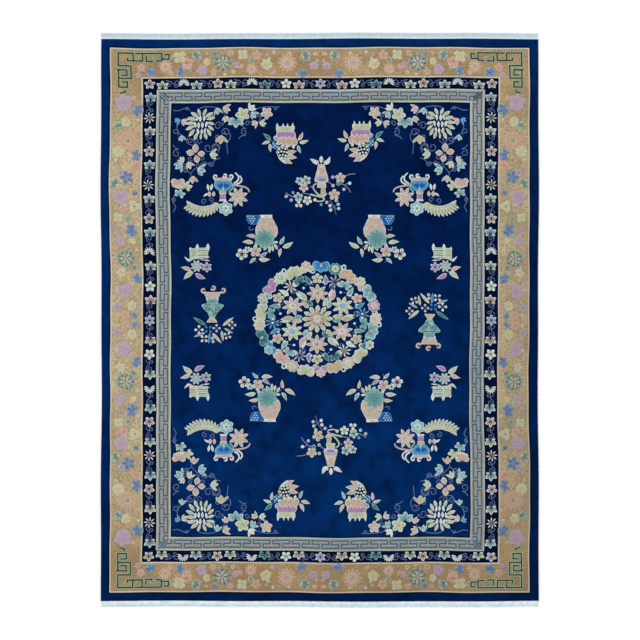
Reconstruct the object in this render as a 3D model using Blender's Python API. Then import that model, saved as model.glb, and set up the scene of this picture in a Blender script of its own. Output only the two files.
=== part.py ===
"""A room-size Chinese rug lying flat: its pile body and the fringe at each end.

The rug lies on z = 0 with its centre over the origin. Its long way runs along Y and
its width along X. The body is one slab with a gently uneven outline and a soft upper
edge. Each fringe is one comb: a narrow woven web along the rug's end, with a row of
flat tassels that lean and vary a little in length, as a combed-out fringe does.
"""

import math

import bmesh
import bpy
from mathutils import Vector

RUG_WIDTH = 2.740
RUG_LENGTH = 3.520
RUG_THICKNESS = 0.013
EDGE_ROUND = 0.004
EDGE_ROUND_STEPS = 3

# How far the outline wanders from a true rectangle, as waves along an edge:
# (height of the wave, waves along the edge, where it starts in turns).
SIDE_WAVES = ((0.0030, 1.5, 0.10), (0.0016, 4.0, 0.35))
END_WAVES = ((0.0024, 1.0, 0.60), (0.0012, 3.5, 0.20))

SIDE_STATIONS = 44
END_STATIONS = 40

FRINGE_GAP = 0.0003
FRINGE_REACH = 0.040
FRINGE_THICKNESS = 0.003
WEB_WIDTH = 0.010
TASSELS_PER_STATION = 2
TASSEL_SHARE = 0.72
TASSEL_TAPER = 0.80
LENGTH_SPREAD = 0.0030
LEAN_SPREAD = 0.0025

# name: red, green, blue, roughness
MATERIALS = {
    "navy_wool_pile": (0.020, 0.045, 0.120, 0.95),
    "pale_cotton": (0.600, 0.680, 0.720, 0.90),
}


def clear_scene():
    """Take away whatever the open file holds."""
    for item in list(bpy.data.objects):
        bpy.data.objects.remove(item, do_unlink=True)


def make_collection(name):
    """Make the collection that holds the rug."""
    collection = bpy.data.collections.new(name)
    bpy.context.scene.collection.children.link(collection)
    return collection


def make_material(name):
    """Make one matt textile material from the table of colours."""
    red, green, blue, roughness = MATERIALS[name]
    material = bpy.data.materials.new(name)
    material.use_nodes = True
    shader = material.node_tree.nodes["Principled BSDF"]
    shader.inputs["Base Color"].default_value = (red, green, blue, 1.0)
    shader.inputs["Roughness"].default_value = roughness
    shader.inputs["Metallic"].default_value = 0.0
    return material


def wander(waves, share):
    """Return how far an edge strays outwards at a share, 0 to 1, of its length."""
    return sum(
        height * math.sin(2 * math.pi * (count * share + start))
        for height, count, start in waves
    )


def most(waves, stations):
    """Return the largest stray over an edge's stations, which still fits the size."""
    return max(wander(waves, station / stations) for station in range(stations + 1))


def half_width_at(y):
    """Return the distance from the middle line to the long edge at a height y."""
    share = y / RUG_LENGTH + 0.5
    return RUG_WIDTH / 2 - most(SIDE_WAVES, SIDE_STATIONS) + wander(SIDE_WAVES, share)


def half_length_at(x):
    """Return the distance from the middle to the end edge at x, straight between stations."""
    place = (x / RUG_WIDTH + 0.5) * END_STATIONS
    low = min(max(math.floor(place), 0), END_STATIONS - 1)
    inset = RUG_LENGTH / 2 - most(END_WAVES, END_STATIONS)
    here = wander(END_WAVES, low / END_STATIONS)
    there = wander(END_WAVES, (low + 1) / END_STATIONS)
    return inset + here + (there - here) * (place - low)


def finish_object(shape, name, material, collection):
    """Turn a finished shape into a named object with its material."""
    bmesh.ops.recalc_face_normals(shape, faces=shape.faces)
    mesh = bpy.data.meshes.new(name)
    shape.to_mesh(mesh)
    shape.free()
    mesh.materials.append(material)
    rug_piece = bpy.data.objects.new(name, mesh)
    collection.objects.link(rug_piece)
    return rug_piece


def raise_flat_shape(shape, thickness):
    """Give a flat shape at z = 0 its thickness, straight up."""
    raised = bmesh.ops.extrude_face_region(shape, geom=shape.faces[:])
    top = [item for item in raised["geom"] if isinstance(item, bmesh.types.BMVert)]
    bmesh.ops.translate(shape, verts=top, vec=Vector((0.0, 0.0, thickness)))


def build_body(material, collection):
    """Build the pile body: one slab with an uneven outline and a soft upper edge."""
    shape = bmesh.new()
    bmesh.ops.create_grid(
        shape, x_segments=END_STATIONS, y_segments=SIDE_STATIONS, size=0.5
    )
    for vert in shape.verts:
        x = vert.co.x * RUG_WIDTH
        y = vert.co.y * RUG_LENGTH
        vert.co.x *= 2 * half_width_at(y)
        vert.co.y *= 2 * half_length_at(x)
    bmesh.ops.dissolve_faces(shape, faces=shape.faces[:])
    raise_flat_shape(shape, RUG_THICKNESS)
    rim = [
        edge
        for edge in shape.edges
        if min(vert.co.z for vert in edge.verts) > RUG_THICKNESS / 2
    ]
    bmesh.ops.bevel(
        shape,
        geom=rim,
        offset=EDGE_ROUND,
        segments=EDGE_ROUND_STEPS,
        profile=0.5,
        affect="EDGES",
    )
    return finish_object(shape, "rug_body", material, collection)


def tassel_length(number):
    """Return one tassel's length past the web, uneven in a fixed way."""
    spare = 0.5 + 0.5 * math.sin(2.4 * number) * math.cos(0.7 * number)
    return FRINGE_REACH - FRINGE_GAP - WEB_WIDTH - LENGTH_SPREAD * spare


def tassel_lean(number):
    """Return how far one tassel's tip leans along the edge."""
    return LEAN_SPREAD * math.sin(1.9 * number + 0.4)


def build_fringe(name, end, material, collection):
    """Build one comb: the web along the rug's end, and its row of tassels.

    end is +1 for the end at +Y and -1 for the end at -Y.
    """
    tassels = END_STATIONS * TASSELS_PER_STATION
    pitch = RUG_WIDTH / tassels
    side = half_width_at(end * RUG_LENGTH / 2)
    bare = pitch * (1 - TASSEL_SHARE) / 2
    columns = 3 * tassels
    shape = bmesh.new()
    bmesh.ops.create_grid(shape, x_segments=columns, y_segments=2, size=0.5)

    def column_and_row(vert):
        return round((vert.co.x + 0.5) * columns), round((vert.co.y + 0.5) * 2)

    between = [
        face
        for face in shape.faces
        if face.calc_center_median().y > 0
        and int((face.calc_center_median().x + 0.5) * columns) % 3 != 1
    ]
    bmesh.ops.delete(shape, geom=between, context="FACES")
    for vert in shape.verts:
        column, row = column_and_row(vert)
        number, place = divmod(column, 3)
        x = -RUG_WIDTH / 2 + number * pitch + (0.0, bare, pitch - bare)[place]
        x = min(max(x, -side), side)
        edge = half_length_at(x) + FRINGE_GAP
        reach = (0.0, WEB_WIDTH, WEB_WIDTH + tassel_length(number))[row]
        if row == 2:
            middle = -RUG_WIDTH / 2 + (number + 0.5) * pitch
            x = middle + (x - middle) * TASSEL_TAPER + tassel_lean(number)
        vert.co.x = x
        vert.co.y = end * (edge + reach)
    raise_flat_shape(shape, FRINGE_THICKNESS)
    return finish_object(shape, name, material, collection)


def build_rug():
    """Build the body and the two fringes."""
    clear_scene()
    collection = make_collection("chinese_rug")
    wool = make_material("navy_wool_pile")
    cotton = make_material("pale_cotton")
    build_body(wool, collection)
    build_fringe("fringe_top", 1, cotton, collection)
    build_fringe("fringe_bottom", -1, cotton, collection)


build_rug()
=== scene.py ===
"""Make a room-size Chinese rug: its wool pile, its carved figures and its fringes."""

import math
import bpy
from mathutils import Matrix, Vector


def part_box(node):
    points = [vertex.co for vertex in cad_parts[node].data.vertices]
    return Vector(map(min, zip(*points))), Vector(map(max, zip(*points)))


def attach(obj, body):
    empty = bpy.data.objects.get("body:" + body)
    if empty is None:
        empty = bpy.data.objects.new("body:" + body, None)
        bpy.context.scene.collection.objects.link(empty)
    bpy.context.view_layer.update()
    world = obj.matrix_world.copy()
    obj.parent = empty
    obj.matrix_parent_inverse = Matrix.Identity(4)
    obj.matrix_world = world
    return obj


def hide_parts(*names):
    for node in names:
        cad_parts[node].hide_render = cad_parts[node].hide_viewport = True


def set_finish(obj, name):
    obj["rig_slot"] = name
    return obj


bl_info = {
    "name": "Chinese Rug",
    "version": (1, 0, 0),
    "blender": (4, 5, 0),
    "location": "3D View > Sidebar > Rug",
    "description": "Makes the pile, borders, carved flowers and fringes of a Chinese rug",
    "category": "Mesh",
}

import bpy
import numpy as np

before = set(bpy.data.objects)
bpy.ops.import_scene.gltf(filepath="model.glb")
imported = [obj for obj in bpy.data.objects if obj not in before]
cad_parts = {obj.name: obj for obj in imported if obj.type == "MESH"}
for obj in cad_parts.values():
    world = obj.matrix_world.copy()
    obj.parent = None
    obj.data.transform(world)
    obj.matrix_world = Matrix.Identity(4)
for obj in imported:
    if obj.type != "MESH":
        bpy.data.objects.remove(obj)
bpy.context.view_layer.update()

HALF_WIDTH, HALF_LENGTH, RUG_TOP = np.array(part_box("rug_body")[1])
MM = 0.001
# The field's figures are laid out on a net with this many squares across the rug.
NET_SQUARES = 437
NET = 2 * HALF_WIDTH / NET_SQUARES


# ---------------------------------------------------------------- sizes and dyes


def length_property(name, description, default):
    """Make a size that a user can change, in metres."""
    return bpy.props.FloatProperty(
        name=name, description=description, default=default, min=0.0, unit="LENGTH"
    )


def band_property(name, side, end):
    """Make a band's two widths: along the long sides, and along the ends."""
    return bpy.props.FloatVectorProperty(
        name=name,
        description="Width along the long sides and along the ends",
        size=2,
        default=(side * MM, end * MM),
        unit="LENGTH",
    )


def linear(value):
    """Turn one 8-bit screen colour value into the light it stands for."""
    value /= 255
    return value / 12.92 if value <= 0.04045 else ((value + 0.055) / 1.055) ** 2.4


def dye_property(name, red, green, blue):
    """Make a dye that a user can change, given as 8-bit screen values."""
    return bpy.props.FloatVectorProperty(
        name=name,
        description="Colour of this dyed yarn",
        subtype="COLOR",
        min=0.0,
        max=1.0,
        default=(linear(red), linear(green), linear(blue)),
    )


class RugSizes(bpy.types.PropertyGroup):
    """Heights and widths of the pile, its grooves and its figures."""

    relief: length_property("Relief", "Height of the carved figures", 0.0026)
    groove_depth: length_property("Groove depth", "Depth between two bands", 0.0022)
    groove_half: length_property("Groove half width", "Half the carved groove", 0.0030)
    outline: length_property("Outline", "Width of the groove cut round a figure", 0.0046)
    rim: length_property("Rim", "Width of a figure's pale rim", 0.0034)
    knot: length_property("Knot", "Distance between two knots", 0.0034)
    wander: length_property("Wander", "How far the bands stray", 0.0024)
    strand: length_property("Strand", "Thickness of a fringe strand", 0.0024)
    web: length_property("Web", "Width of the woven strip that holds the fringe", 0.0100)
    fringe: length_property("Fringe", "Reach of the fringe past the pile", 0.0390)


class RugBands(bpy.types.PropertyGroup):
    """Widths of the bands, from the rug's edge to the field."""

    outer: band_property("Outer navy band", 55, 54)
    stripe_1: band_property("First cream stripe", 10, 10)
    gold: band_property("Gold border", 181, 170)
    stripe_2: band_property("Second cream stripe", 11, 11)
    guard: band_property("Dark guard border", 84, 70)
    stripe_3: band_property("Third cream stripe", 11, 11)
    fret: band_property("Fret border", 70, 64)
    stripe_4: band_property("Fourth cream stripe", 11, 11)


class RugDyes(bpy.types.PropertyGroup):
    """Colours of the yarns, and of the painted shade and light on the pile."""

    navy: dye_property("Navy", 1, 26, 72)
    # Lighter navy: painted light on the edge band's upper left, and the field's lower end.
    royal: dye_property("Lighter navy", 2, 42, 96)
    navy_edge: dye_property("Edge navy", 2, 28, 70)
    ink: dye_property("Ink", 3, 12, 38)
    # Black for seeds, and the painted shade in the grooves round the carved figures.
    black: dye_property("Black and groove shade", 2, 5, 14)
    gold: dye_property("Gold", 188, 172, 136)
    amber: dye_property("Amber", 172, 145, 107)
    bronze: dye_property("Bronze", 130, 107, 78)
    # Tan is only the painted shade in the grooves of the gold border's figures.
    tan: dye_property("Tan", 150, 122, 82)
    stripe: dye_property("Stripe cream", 206, 198, 180)
    bone: dye_property("Stripe bone", 190, 196, 184)
    beige: dye_property("Fret beige", 156, 156, 142)
    slate: dye_property("Fret slate", 80, 100, 110)
    mist: dye_property("Fret mist", 136, 160, 168)
    ivory: dye_property("Ivory", 222, 224, 214)
    cream: dye_property("Cream", 196, 198, 168)
    straw: dye_property("Straw", 180, 176, 128)
    peach: dye_property("Peach", 200, 168, 140)
    shell: dye_property("Shell pink", 204, 176, 160)
    salmon: dye_property("Salmon", 202, 154, 138)
    rose: dye_property("Rose", 168, 104, 110)
    wine: dye_property("Wine", 88, 34, 52)
    lilac: dye_property("Lilac", 168, 156, 188)
    mauve: dye_property("Mauve", 174, 130, 166)
    violet: dye_property("Violet", 92, 76, 136)
    vine: dye_property("Vine lavender", 118, 130, 166)
    aqua: dye_property("Aqua", 152, 190, 190)
    teal: dye_property("Teal", 80, 130, 126)
    deep_teal: dye_property("Deep teal", 28, 82, 82)
    sky: dye_property("Sky", 88, 154, 198)
    blue: dye_property("Blue", 30, 92, 158)
    jade: dye_property("Jade", 132, 170, 160)
    sage: dye_property("Sage", 158, 180, 150)
    moss: dye_property("Moss", 26, 62, 46)
    brown: dye_property("Brown", 120, 86, 66)
    cotton: dye_property("Fringe cotton", 244, 255, 255)
    linen: dye_property("Worn cotton", 221, 240, 249)


def sizes():
    """Return the sizes the user set."""
    return bpy.context.scene.rug_sizes


def dye(name):
    """Return a yarn's colour by its name."""
    return np.array(getattr(bpy.context.scene.rug_dyes, name))


def band_edges():
    """Return each band's name, and its outer half width and half length."""
    across, along, edges = HALF_WIDTH, HALF_LENGTH, []
    bands = bpy.context.scene.rug_bands
    for name in RugBands.__annotations__:
        edges.append((name, across, along))
        side, end = getattr(bands, name)
        across, along = across - side, along - end
    edges.append(("field", across, along))
    return edges


def band_middle(name):
    """Return the half width and half length of a band's middle line, and its widths."""
    edges = band_edges()
    number = [edge[0] for edge in edges].index(name)
    outer, inner = np.array(edges[number][1:]), np.array(edges[number + 1][1:])
    return (outer + inner) / 2, outer - inner


# ---------------------------------------------------------------- the uneven rug


def read_outline():
    """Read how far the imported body's edges reach, along the rug and across it."""
    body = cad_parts["rug_body"].data
    points = np.empty(len(body.vertices) * 3)
    body.vertices.foreach_get("co", points)
    points = points.reshape(-1, 3)
    flat = points[points[:, 2] < MM]
    side = flat[flat[:, 0] > NEAR_EDGE * HALF_WIDTH]
    end = flat[flat[:, 1] > NEAR_EDGE * HALF_LENGTH]
    return side[side[:, 1].argsort()], end[end[:, 0].argsort()]


# The body's points past this share of its half width or half length lie on its edge.
NEAR_EDGE = 0.97
SIDE, END = read_outline()

# The inner bands lie a little to the right of the rug's middle. That sets in this far
# from the rug's edge, and is full this much further in.
FIELD_SHIFT, SHIFT_START, SHIFT_WIDTH = 4 * MM, 60 * MM, 150 * MM
# The bands stray in slow waves, which are full this far in from the rug's edge.
STRAY_WIDTH = 50 * MM
# share, turns a metre across the rug and along it, and where the wave starts
STRAY_ACROSS = ((1.0, 0.0, 0.8, 0.1), (0.6, 0.4, 2.6, 0.0))
STRAY_ALONG = ((1.0, 0.9, 0.0, 0.7), (0.6, 2.3, -0.4, 0.0))
# The pile swells a little: how high, and how far in from the edge that starts.
SWELL, SWELL_START = 0.3 * MM, 20 * MM


def turns(value):
    """Return the sine of a number of whole turns."""
    return np.sin(2 * math.pi * value)


def stray(waves, across, along):
    """Return how far points stray by some waves, in shares of the wander."""
    return sum(
        share * turns(sideways * across + lengthways * along + start)
        for share, sideways, lengthways, start in waves
    )


def lie_on_rug(points):
    """Move design points to the uneven rug: across, along and height over the pile."""
    across, along, height = np.asarray(points, dtype=float).T
    inside = np.minimum(HALF_WIDTH - abs(across), HALF_LENGTH - abs(along))
    fade = np.clip(inside / STRAY_WIDTH, 0, 1) * sizes().wander
    x = across * np.interp(along, SIDE[:, 1], SIDE[:, 0]) / HALF_WIDTH
    y = along * np.interp(across, END[:, 0], END[:, 1]) / HALF_LENGTH
    x += FIELD_SHIFT * np.clip((inside - SHIFT_START) / SHIFT_WIDTH, 0, 1)
    x += fade * stray(STRAY_ACROSS, across, along)
    y += fade * stray(STRAY_ALONG, across, along)
    swell = SWELL * turns(0.55 * across + 0.2) * turns(0.45 * along + 0.1)
    return np.column_stack((x, y, pile_top() + swell * (inside > SWELL_START) + height))


def pile_top():
    """Return the height of the ground pile, with room for the figures above it."""
    return RUG_TOP - sizes().relief


# ---------------------------------------------------------------- materials


def feed(tree, socket, value):
    """Link a socket to another one, or set it to a plain value."""
    if isinstance(value, bpy.types.NodeSocket):
        tree.links.new(value, socket)
    else:
        socket.default_value = value


def add_node(tree, kind, **values):
    """Add a shader node, feed its inputs and set its settings, all by their names."""
    node = tree.nodes.new("ShaderNode" + kind)
    for name, value in values.items():
        socket = name.replace("_", " ").title()
        if socket in node.inputs:
            feed(tree, node.inputs[socket], value)
        else:
            setattr(node, name, value)
    return node


def new_wool(name, sheen=0.01):
    """Start a wool or cotton material; return it, its nodes, its shader and a place."""
    material = bpy.data.materials.new(name)
    material.use_nodes = True
    tree = material.node_tree
    shader = tree.nodes["Principled BSDF"]
    shader.inputs["Roughness"].default_value = 0.92
    shader.inputs["Specular IOR Level"].default_value = 0.01
    shader.inputs["Sheen Weight"].default_value = sheen
    shader.inputs["Sheen Roughness"].default_value = 0.45
    place = add_node(tree, "TexCoord").outputs["Object"]
    return material, tree, shader, place


# The sockets that a Mix node uses for colours.
MIX_SHARE, MIX_FIRST, MIX_SECOND, MIX_RESULT = 0, 6, 7, 2


def mix_colours(tree, share, first, second, blend="MIX"):
    """Mix two colours, each a socket or a plain colour, by a socket or a number."""
    mix = add_node(tree, "Mix", data_type="RGBA", blend_type=blend)
    feed(tree, mix.inputs[MIX_SHARE], share)
    for number, colour in ((MIX_FIRST, first), (MIX_SECOND, second)):
        linked = isinstance(colour, bpy.types.NodeSocket)
        feed(tree, mix.inputs[number], colour if linked else (*colour, 1.0))
    return mix.outputs[MIX_RESULT]


def noise(tree, place, scale, detail=3.0, low=0.3, high=0.7):
    """Return a noise share, 0 to 1, stretched between two of the noise's own values."""
    cloud = add_node(tree, "TexNoise", vector=place, scale=scale, detail=detail, roughness=0.6)
    spread = add_node(tree, "MapRange", value=cloud.outputs["Fac"], from_min=low, from_max=high)
    return spread.outputs["Result"]


def scaled(tree, share, strength):
    """Return a share made smaller by a plain number."""
    part = add_node(tree, "Math", operation="MULTIPLY", value=share)
    part.inputs[1].default_value = strength
    return part.outputs[0]


def along_rug(tree, place, slope, start, stop, fold=False):
    """Return a share that grows along a slope, or from the rug's middle both ways."""
    reach = add_node(tree, "VectorMath", operation="DOT_PRODUCT", vector=place)
    reach.inputs[1].default_value = slope
    way = "ABSOLUTE" if fold else "ADD"
    folded = add_node(tree, "Math", operation=way, value=reach.outputs["Value"])
    folded.inputs[1].default_value = 0.0
    share = add_node(tree, "MapRange", interpolation_type="SMOOTHSTEP", value=folded.outputs[0])
    feed(tree, share.inputs["From Min"], start)
    feed(tree, share.inputs["From Max"], stop)
    return share.outputs["Result"]


# How unevenly the knots are set, how much of a knot its tuft fills, and how strong and
# how deep its bump is.
KNOT_UNEVEN, TUFT_FILLS, KNOT_BUMP, KNOT_DEPTH = 0.55, 0.8, 0.55, 1.2 * MM


def knot_finish(tree, shader, place, colour, uneven=0.14):
    """Give the pile its rows of knots: each a small tuft of slightly other colour."""
    fine = 1 / sizes().knot
    knots = add_node(tree, "TexVoronoi", vector=place, scale=fine, randomness=KNOT_UNEVEN)
    own, away = knots.outputs["Color"], knots.outputs["Distance"]
    level = add_node(tree, "MapRange", value=own, to_min=1 - uneven, to_max=1 + uneven)
    tint = add_node(tree, "HueSaturation", value=level.outputs["Result"], color=colour)
    tuft = add_node(tree, "MapRange", value=away, from_max=TUFT_FILLS, to_min=1.0, to_max=0.0)
    height = tuft.outputs["Result"]
    bump = add_node(tree, "Bump", height=height, strength=KNOT_BUMP, distance=KNOT_DEPTH)
    feed(tree, shader.inputs["Base Color"], tint.outputs["Color"])
    feed(tree, shader.inputs["Normal"], bump.outputs["Normal"])


# ground: dye, darkest and lightest of its clouds, speckle dye, how strong, how fine,
# second dye, the slope along which it sets in, where it starts and is full, and if it
# is the same both ways from the middle
ACROSS_CORNERS, ALONG = (0.5, -0.5, 0), (0, 1, 0)
GROUND_WOOLS = {
    # The edge navy is lighter at the upper left and darker at the lower right: painted light
    # falling off.
    "navy_edge_pile": (
        *("royal", 0.80, 1.10, "ink", 0.45, 14),
        *("navy_edge", ACROSS_CORNERS, -0.9, 0.7, False),
    ),
    "cream_pile": ("stripe", 0.86, 1.06, "shell", 0.45, 60, "peach", ALONG, 6, 9, True),
    "bone_pile": ("bone", 0.84, 1.06, "mist", 0.45, 60, "aqua", ALONG, 6, 9, True),
    "gold_pile": ("gold", 0.78, 1.12, "bronze", 0.80, 80, "amber", ALONG, 1.1, 1.6, True),
    "ink_pile": ("ink", 0.80, 1.40, "navy", 0.60, 60, "navy", ALONG, 6, 9, True),
    "fret_pile": ("beige", 0.86, 1.08, "lilac", 0.45, 40, "stripe", ALONG, 6, 9, True),
    "navy_pile": ("navy", 0.80, 1.26, "ink", 0.60, 10, "royal", ALONG, 1.0, -1.8, False),
}
# The paler wools darken towards the rug's lower right, a painted shade where the light falls
# off: the slope along which that sets in, where it starts and is full, and how much of their light
# they keep.
LIGHT_FALLOFF_WOOLS = ("gold_pile", "fret_pile", "cream_pile", "bone_pile")
FALLOFF_SLOPE, FALLOFF_START, FALLOFF_STOP, FALLOFF_LIGHT = (0.6, -0.55, 0), -0.7, 1.6, 0.76
# How much of its dye's light a carved groove keeps: painted shade in the ground's grooves.
PAINTED_GROOVE_SHADE = 0.14
# How strong the tinge of a second dye is in a figure's wool: in worn ones and in others.
# How light the second of them is, and the gold that shows where a figure is worn.
BLUSH_TINGE, AQUA_TINGE, AQUA_LIGHT, WORN_GOLD_LIGHT = 0.14, 0.30, 0.90, 0.80
# How much of its red, green and blue a figure's wool has kept.
AGED_TINT = (0.85, 0.91, 0.99)
# How much of its red, green and blue the cotton at the top end gets: it is greyer than at the
# bottom end.
TOP_FRINGE_TINT = (0.75, 0.80, 0.85)
# Where the fringe's cotton starts to be worn and is fully so, in shares of its reach.
WORN_START, WORN_FULL = 0.1, 0.6
# stain on the fringe: scale, strength, and how much of the worn cotton's light it keeps
FRINGE_STAINS = ((26.0, 0.6, 0.72), (170.0, 0.4, 0.52))


def darken(tree, place, colour):
    """Return a colour with painted shade towards the rug's lower right, where the light falls off.
    """
    painted_falloff = along_rug(tree, place, FALLOFF_SLOPE, FALLOFF_START, FALLOFF_STOP)
    return mix_colours(tree, painted_falloff, colour, (FALLOFF_LIGHT,) * 3, "MULTIPLY")


def make_ground_wool(name):
    """Make a band's wool: slow clouds of dye, a heather of a second dye, and knots."""
    base, dark, light, speck, strength, fine, far, *slope = GROUND_WOOLS[name]
    material, tree, shader, place = new_wool(name)
    clouds = noise(tree, place, scale=3.6, detail=7.0, low=0.36, high=0.64)
    heather = noise(tree, place, scale=fine, detail=5.0, low=0.44, high=0.68)
    share = along_rug(tree, place, *slope)
    colour = mix_colours(tree, share, dye(base), dye(far))
    shade = mix_colours(tree, clouds, (dark,) * 3, (light,) * 3)
    colour = mix_colours(tree, 1.0, colour, shade, "MULTIPLY")
    # Painted shade where the light falls off towards the lower right.
    if name in LIGHT_FALLOFF_WOOLS:
        colour = darken(tree, place, colour)
    colour = mix_colours(tree, scaled(tree, heather, strength), colour, dye(speck))
    # Painted shade: the ground is darkened in its carved grooves.
    carved = add_node(tree, "Attribute", attribute_name="carved")
    colour = mix_colours(tree, carved.outputs["Fac"], colour, dye(base) * PAINTED_GROOVE_SHADE)
    knot_finish(tree, shader, place, colour)
    return material


def figure_wool(worn):
    """Make the wool of the carved figures, with their own dyes and the painted groove shade round
    them; worn ones show the gold.
    """
    name = "worn_figure_pile" if worn else "figure_pile"
    known = bpy.data.materials.get(name)
    if known:
        return known
    material, tree, shader, place = new_wool(name)
    # The dye attribute holds the figures' own colours and the painted groove shade round them.
    colour = add_node(tree, "Attribute", attribute_name="dye").outputs["Color"]
    if worn:
        tinge = noise(tree, place, scale=34.0, detail=2.0)
        colour = mix_colours(tree, scaled(tree, tinge, BLUSH_TINGE), colour, dye("shell"))
        thin = noise(tree, place, scale=80.0, detail=4.0, low=0.36, high=0.62)
        gold = dye("gold") * WORN_GOLD_LIGHT
        colour = mix_colours(tree, scaled(tree, thin, worn), colour, gold)
        # Painted shade where the light falls off towards the lower right.
        colour = darken(tree, place, colour)
    else:
        tinge = noise(tree, place, scale=55.0, detail=2.0, low=0.45, high=0.65)
        aqua = dye("aqua") * AQUA_LIGHT
        colour = mix_colours(tree, scaled(tree, tinge, AQUA_TINGE), colour, aqua, "MULTIPLY")
        colour = mix_colours(tree, 1.0, colour, AGED_TINT, "MULTIPLY")
    knot_finish(tree, shader, place, colour, uneven=0.10)
    return material


def fringe_cotton():
    """Make the fringe's cotton: bright by the pile, stained, and greyer at the top end."""
    known = bpy.data.materials.get("combed_cotton")
    if known:
        return known
    material, tree, shader, place = new_wool("combed_cotton", sheen=0.1)
    start, stop = (HALF_LENGTH + share * sizes().fringe for share in (WORN_START, WORN_FULL))
    worn = along_rug(tree, place, ALONG, start, stop, fold=True)
    colour = mix_colours(tree, worn, dye("cotton"), dye("linen"))
    top = along_rug(tree, place, ALONG, -HALF_LENGTH, HALF_LENGTH)
    colour = mix_colours(tree, top, colour, TOP_FRINGE_TINT, "MULTIPLY")
    for scale, strength, dark in FRINGE_STAINS:
        stains = noise(tree, place, scale=scale, low=0.42, high=0.70)
        colour = mix_colours(tree, scaled(tree, stains, strength), colour, dye("linen") * dark)
    twist = add_node(tree, "TexWave", vector=place, scale=260.0, distortion=2.0)
    twist.bands_direction = "DIAGONAL"
    height = twist.outputs["Fac"]
    bump = add_node(tree, "Bump", height=height, strength=0.4, distance=0.5 * MM)
    feed(tree, shader.inputs["Normal"], bump.outputs["Normal"])
    feed(tree, shader.inputs["Base Color"], colour)
    return material


# ---------------------------------------------------------------- stamps

# Petals and leaves, from their root to their tip one unit away.
# kind: half width, fullness, where it is widest, flick of the tip, depth of the teeth,
# points a side
PETALS = {
    "petal": (0.27, 0.90, 1.15, 0.00, 0.00, 5),
    "wide": (0.42, 0.72, 1.20, 0.00, 0.00, 5),
    "drop": (0.33, 0.62, 2.00, 0.00, 0.00, 5),
    "lobe": (0.41, 0.62, 1.40, 0.00, 0.05, 6),
    "narrow": (0.12, 0.85, 1.20, 0.10, 0.00, 3),
    "leaf": (0.20, 1.05, 0.80, 0.20, 0.00, 6),
    "blade": (0.09, 0.80, 0.80, 0.00, 0.00, 5),
}

# Vessels and their parts, from one end to the other, one unit away.
# kind: height and half width, from the first end on
VESSELS = {
    "cup": ((0, 1.10), (0.5, 1.38), (1, 1.60)),
    "band": ((0, 1.00), (0.5, 1.14), (1, 1.15)),
    "box": ((0, 1.00), (0.5, 1.00), (1, 1.00)),
    "pear": ((0, 0.25), (0.3, 0.32), (0.65, 0.46), (0.88, 0.53), (1, 0.48)),
    "funnel": ((0, 0.24), (0.3, 0.36), (0.6, 0.66), (0.82, 0.84), (0.94, 0.80), (1, 0.60)),
    "jar": ((0, 0.29), (0.1, 0.25), (0.3, 0.36), (0.6, 0.50), (0.82, 0.50), (1, 0.42)),
    "dish": ((0, 0.35), (0.12, 0.60), (0.45, 0.90), (1, 1.00)),
    "belly": ((0, 0.32), (0.2, 0.68), (0.5, 0.98), (0.78, 1.00), (1, 0.80)),
}

# Round figures about their middle, reaching one unit.
# kind: lobes, depth of the clefts, sharpness, points
ROUNDS = {
    "disc": (1, 0.00, 1.0, 8),
    "halo": (1, 0.00, 1.0, 12),
    "cloud": (6, 0.24, 3.0, 24),
    "frill": (9, 0.20, 3.0, 36),
}

# How a stamp rises: height over the pile in mm, steps from the outline, outwards in
# outline widths or inwards in rim widths, and its first and least share of the outline.
RINGS = (
    (-0.25, 1.00, 1.20, 1.00),
    (0.20, 0.00, 1.00, 1.00),
    (1.10, -0.30, 0.90, 0.82),
    (1.40, -1.00, 0.75, 0.60),
    (1.45, -1.70, 0.45, 0.32),
)
CENTRE_RISE = 1.50
# The low patch under a gold flower: its lift in mm, its size in shares of the flower's
# reach, and how far up the middle of an ivy leaf lies, in the same shares.
HALO_LIFT, HALO_SIZE, IVY_MIDDLE = -0.95, 0.70, 0.3
# The numbers of the rings at the outline's foot and round the top, and of the middle.
FOOT_RING, TOP_RING, MIDDLE_RING = 1, 4, 5
# A small stamp's groove reaches at most this many times as far as its outline.
MOST_SPREAD = 1.7
# How much of the rim's dye its shoulders have, and how much of the heart's dye a root
# and the middle have, and how far that reaches.
RIM_SHARE, ROOT_SHARE, MIDDLE_SHARE, HEART_REACH = 0.9, 0.9, 0.7, 0.45
STAMPS = {}


def petal_outline(kind):
    """Return a petal's outline, going round from its root."""
    half, fullness, skew, flick, teeth, count = PETALS[kind]
    steps = np.arange(1, count + 1) / (count + 0.6)
    width = half * np.sin(math.pi * steps**skew) ** fullness
    width[1::2] *= 1 - teeth
    width[0::2] *= 1 + teeth / 2
    right = np.column_stack((width, steps))
    left = right[::-1] * (-1, 1)
    outline = np.vstack(((0.0, 0.0), right, (0.0, 1.0), left))
    outline[:, 0] += flick * outline[:, 1] ** 3
    return outline


def vessel_outline(kind):
    """Return a vessel's outline, up its right side and down its left."""
    right = np.array([(half, height) for height, half in VESSELS[kind]])
    return np.vstack((right, right[::-1] * (-1, 1)))


def round_outline(kind):
    """Return a round figure's outline, its first lobe at the top."""
    lobes, cleft, sharp, count = ROUNDS[kind]
    angle = np.arange(count) / count * 2 * math.pi
    reach = 1 - cleft * abs(np.sin(lobes * angle / 2)) ** sharp
    return np.column_stack((-np.sin(angle), np.cos(angle))) * reach[:, None]


def add_disc(points):
    """Add a flat disc with this many points and a radius of one, and select only it."""
    bpy.ops.object.select_all(action="DESELECT")
    bpy.ops.mesh.primitive_circle_add(vertices=points, radius=1, fill_type="NGON")
    return bpy.context.object


def start_shaping():
    """Go to edit mode with all of the shape selected."""
    bpy.ops.object.mode_set(mode="EDIT")
    bpy.ops.mesh.select_all(action="SELECT")


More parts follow.
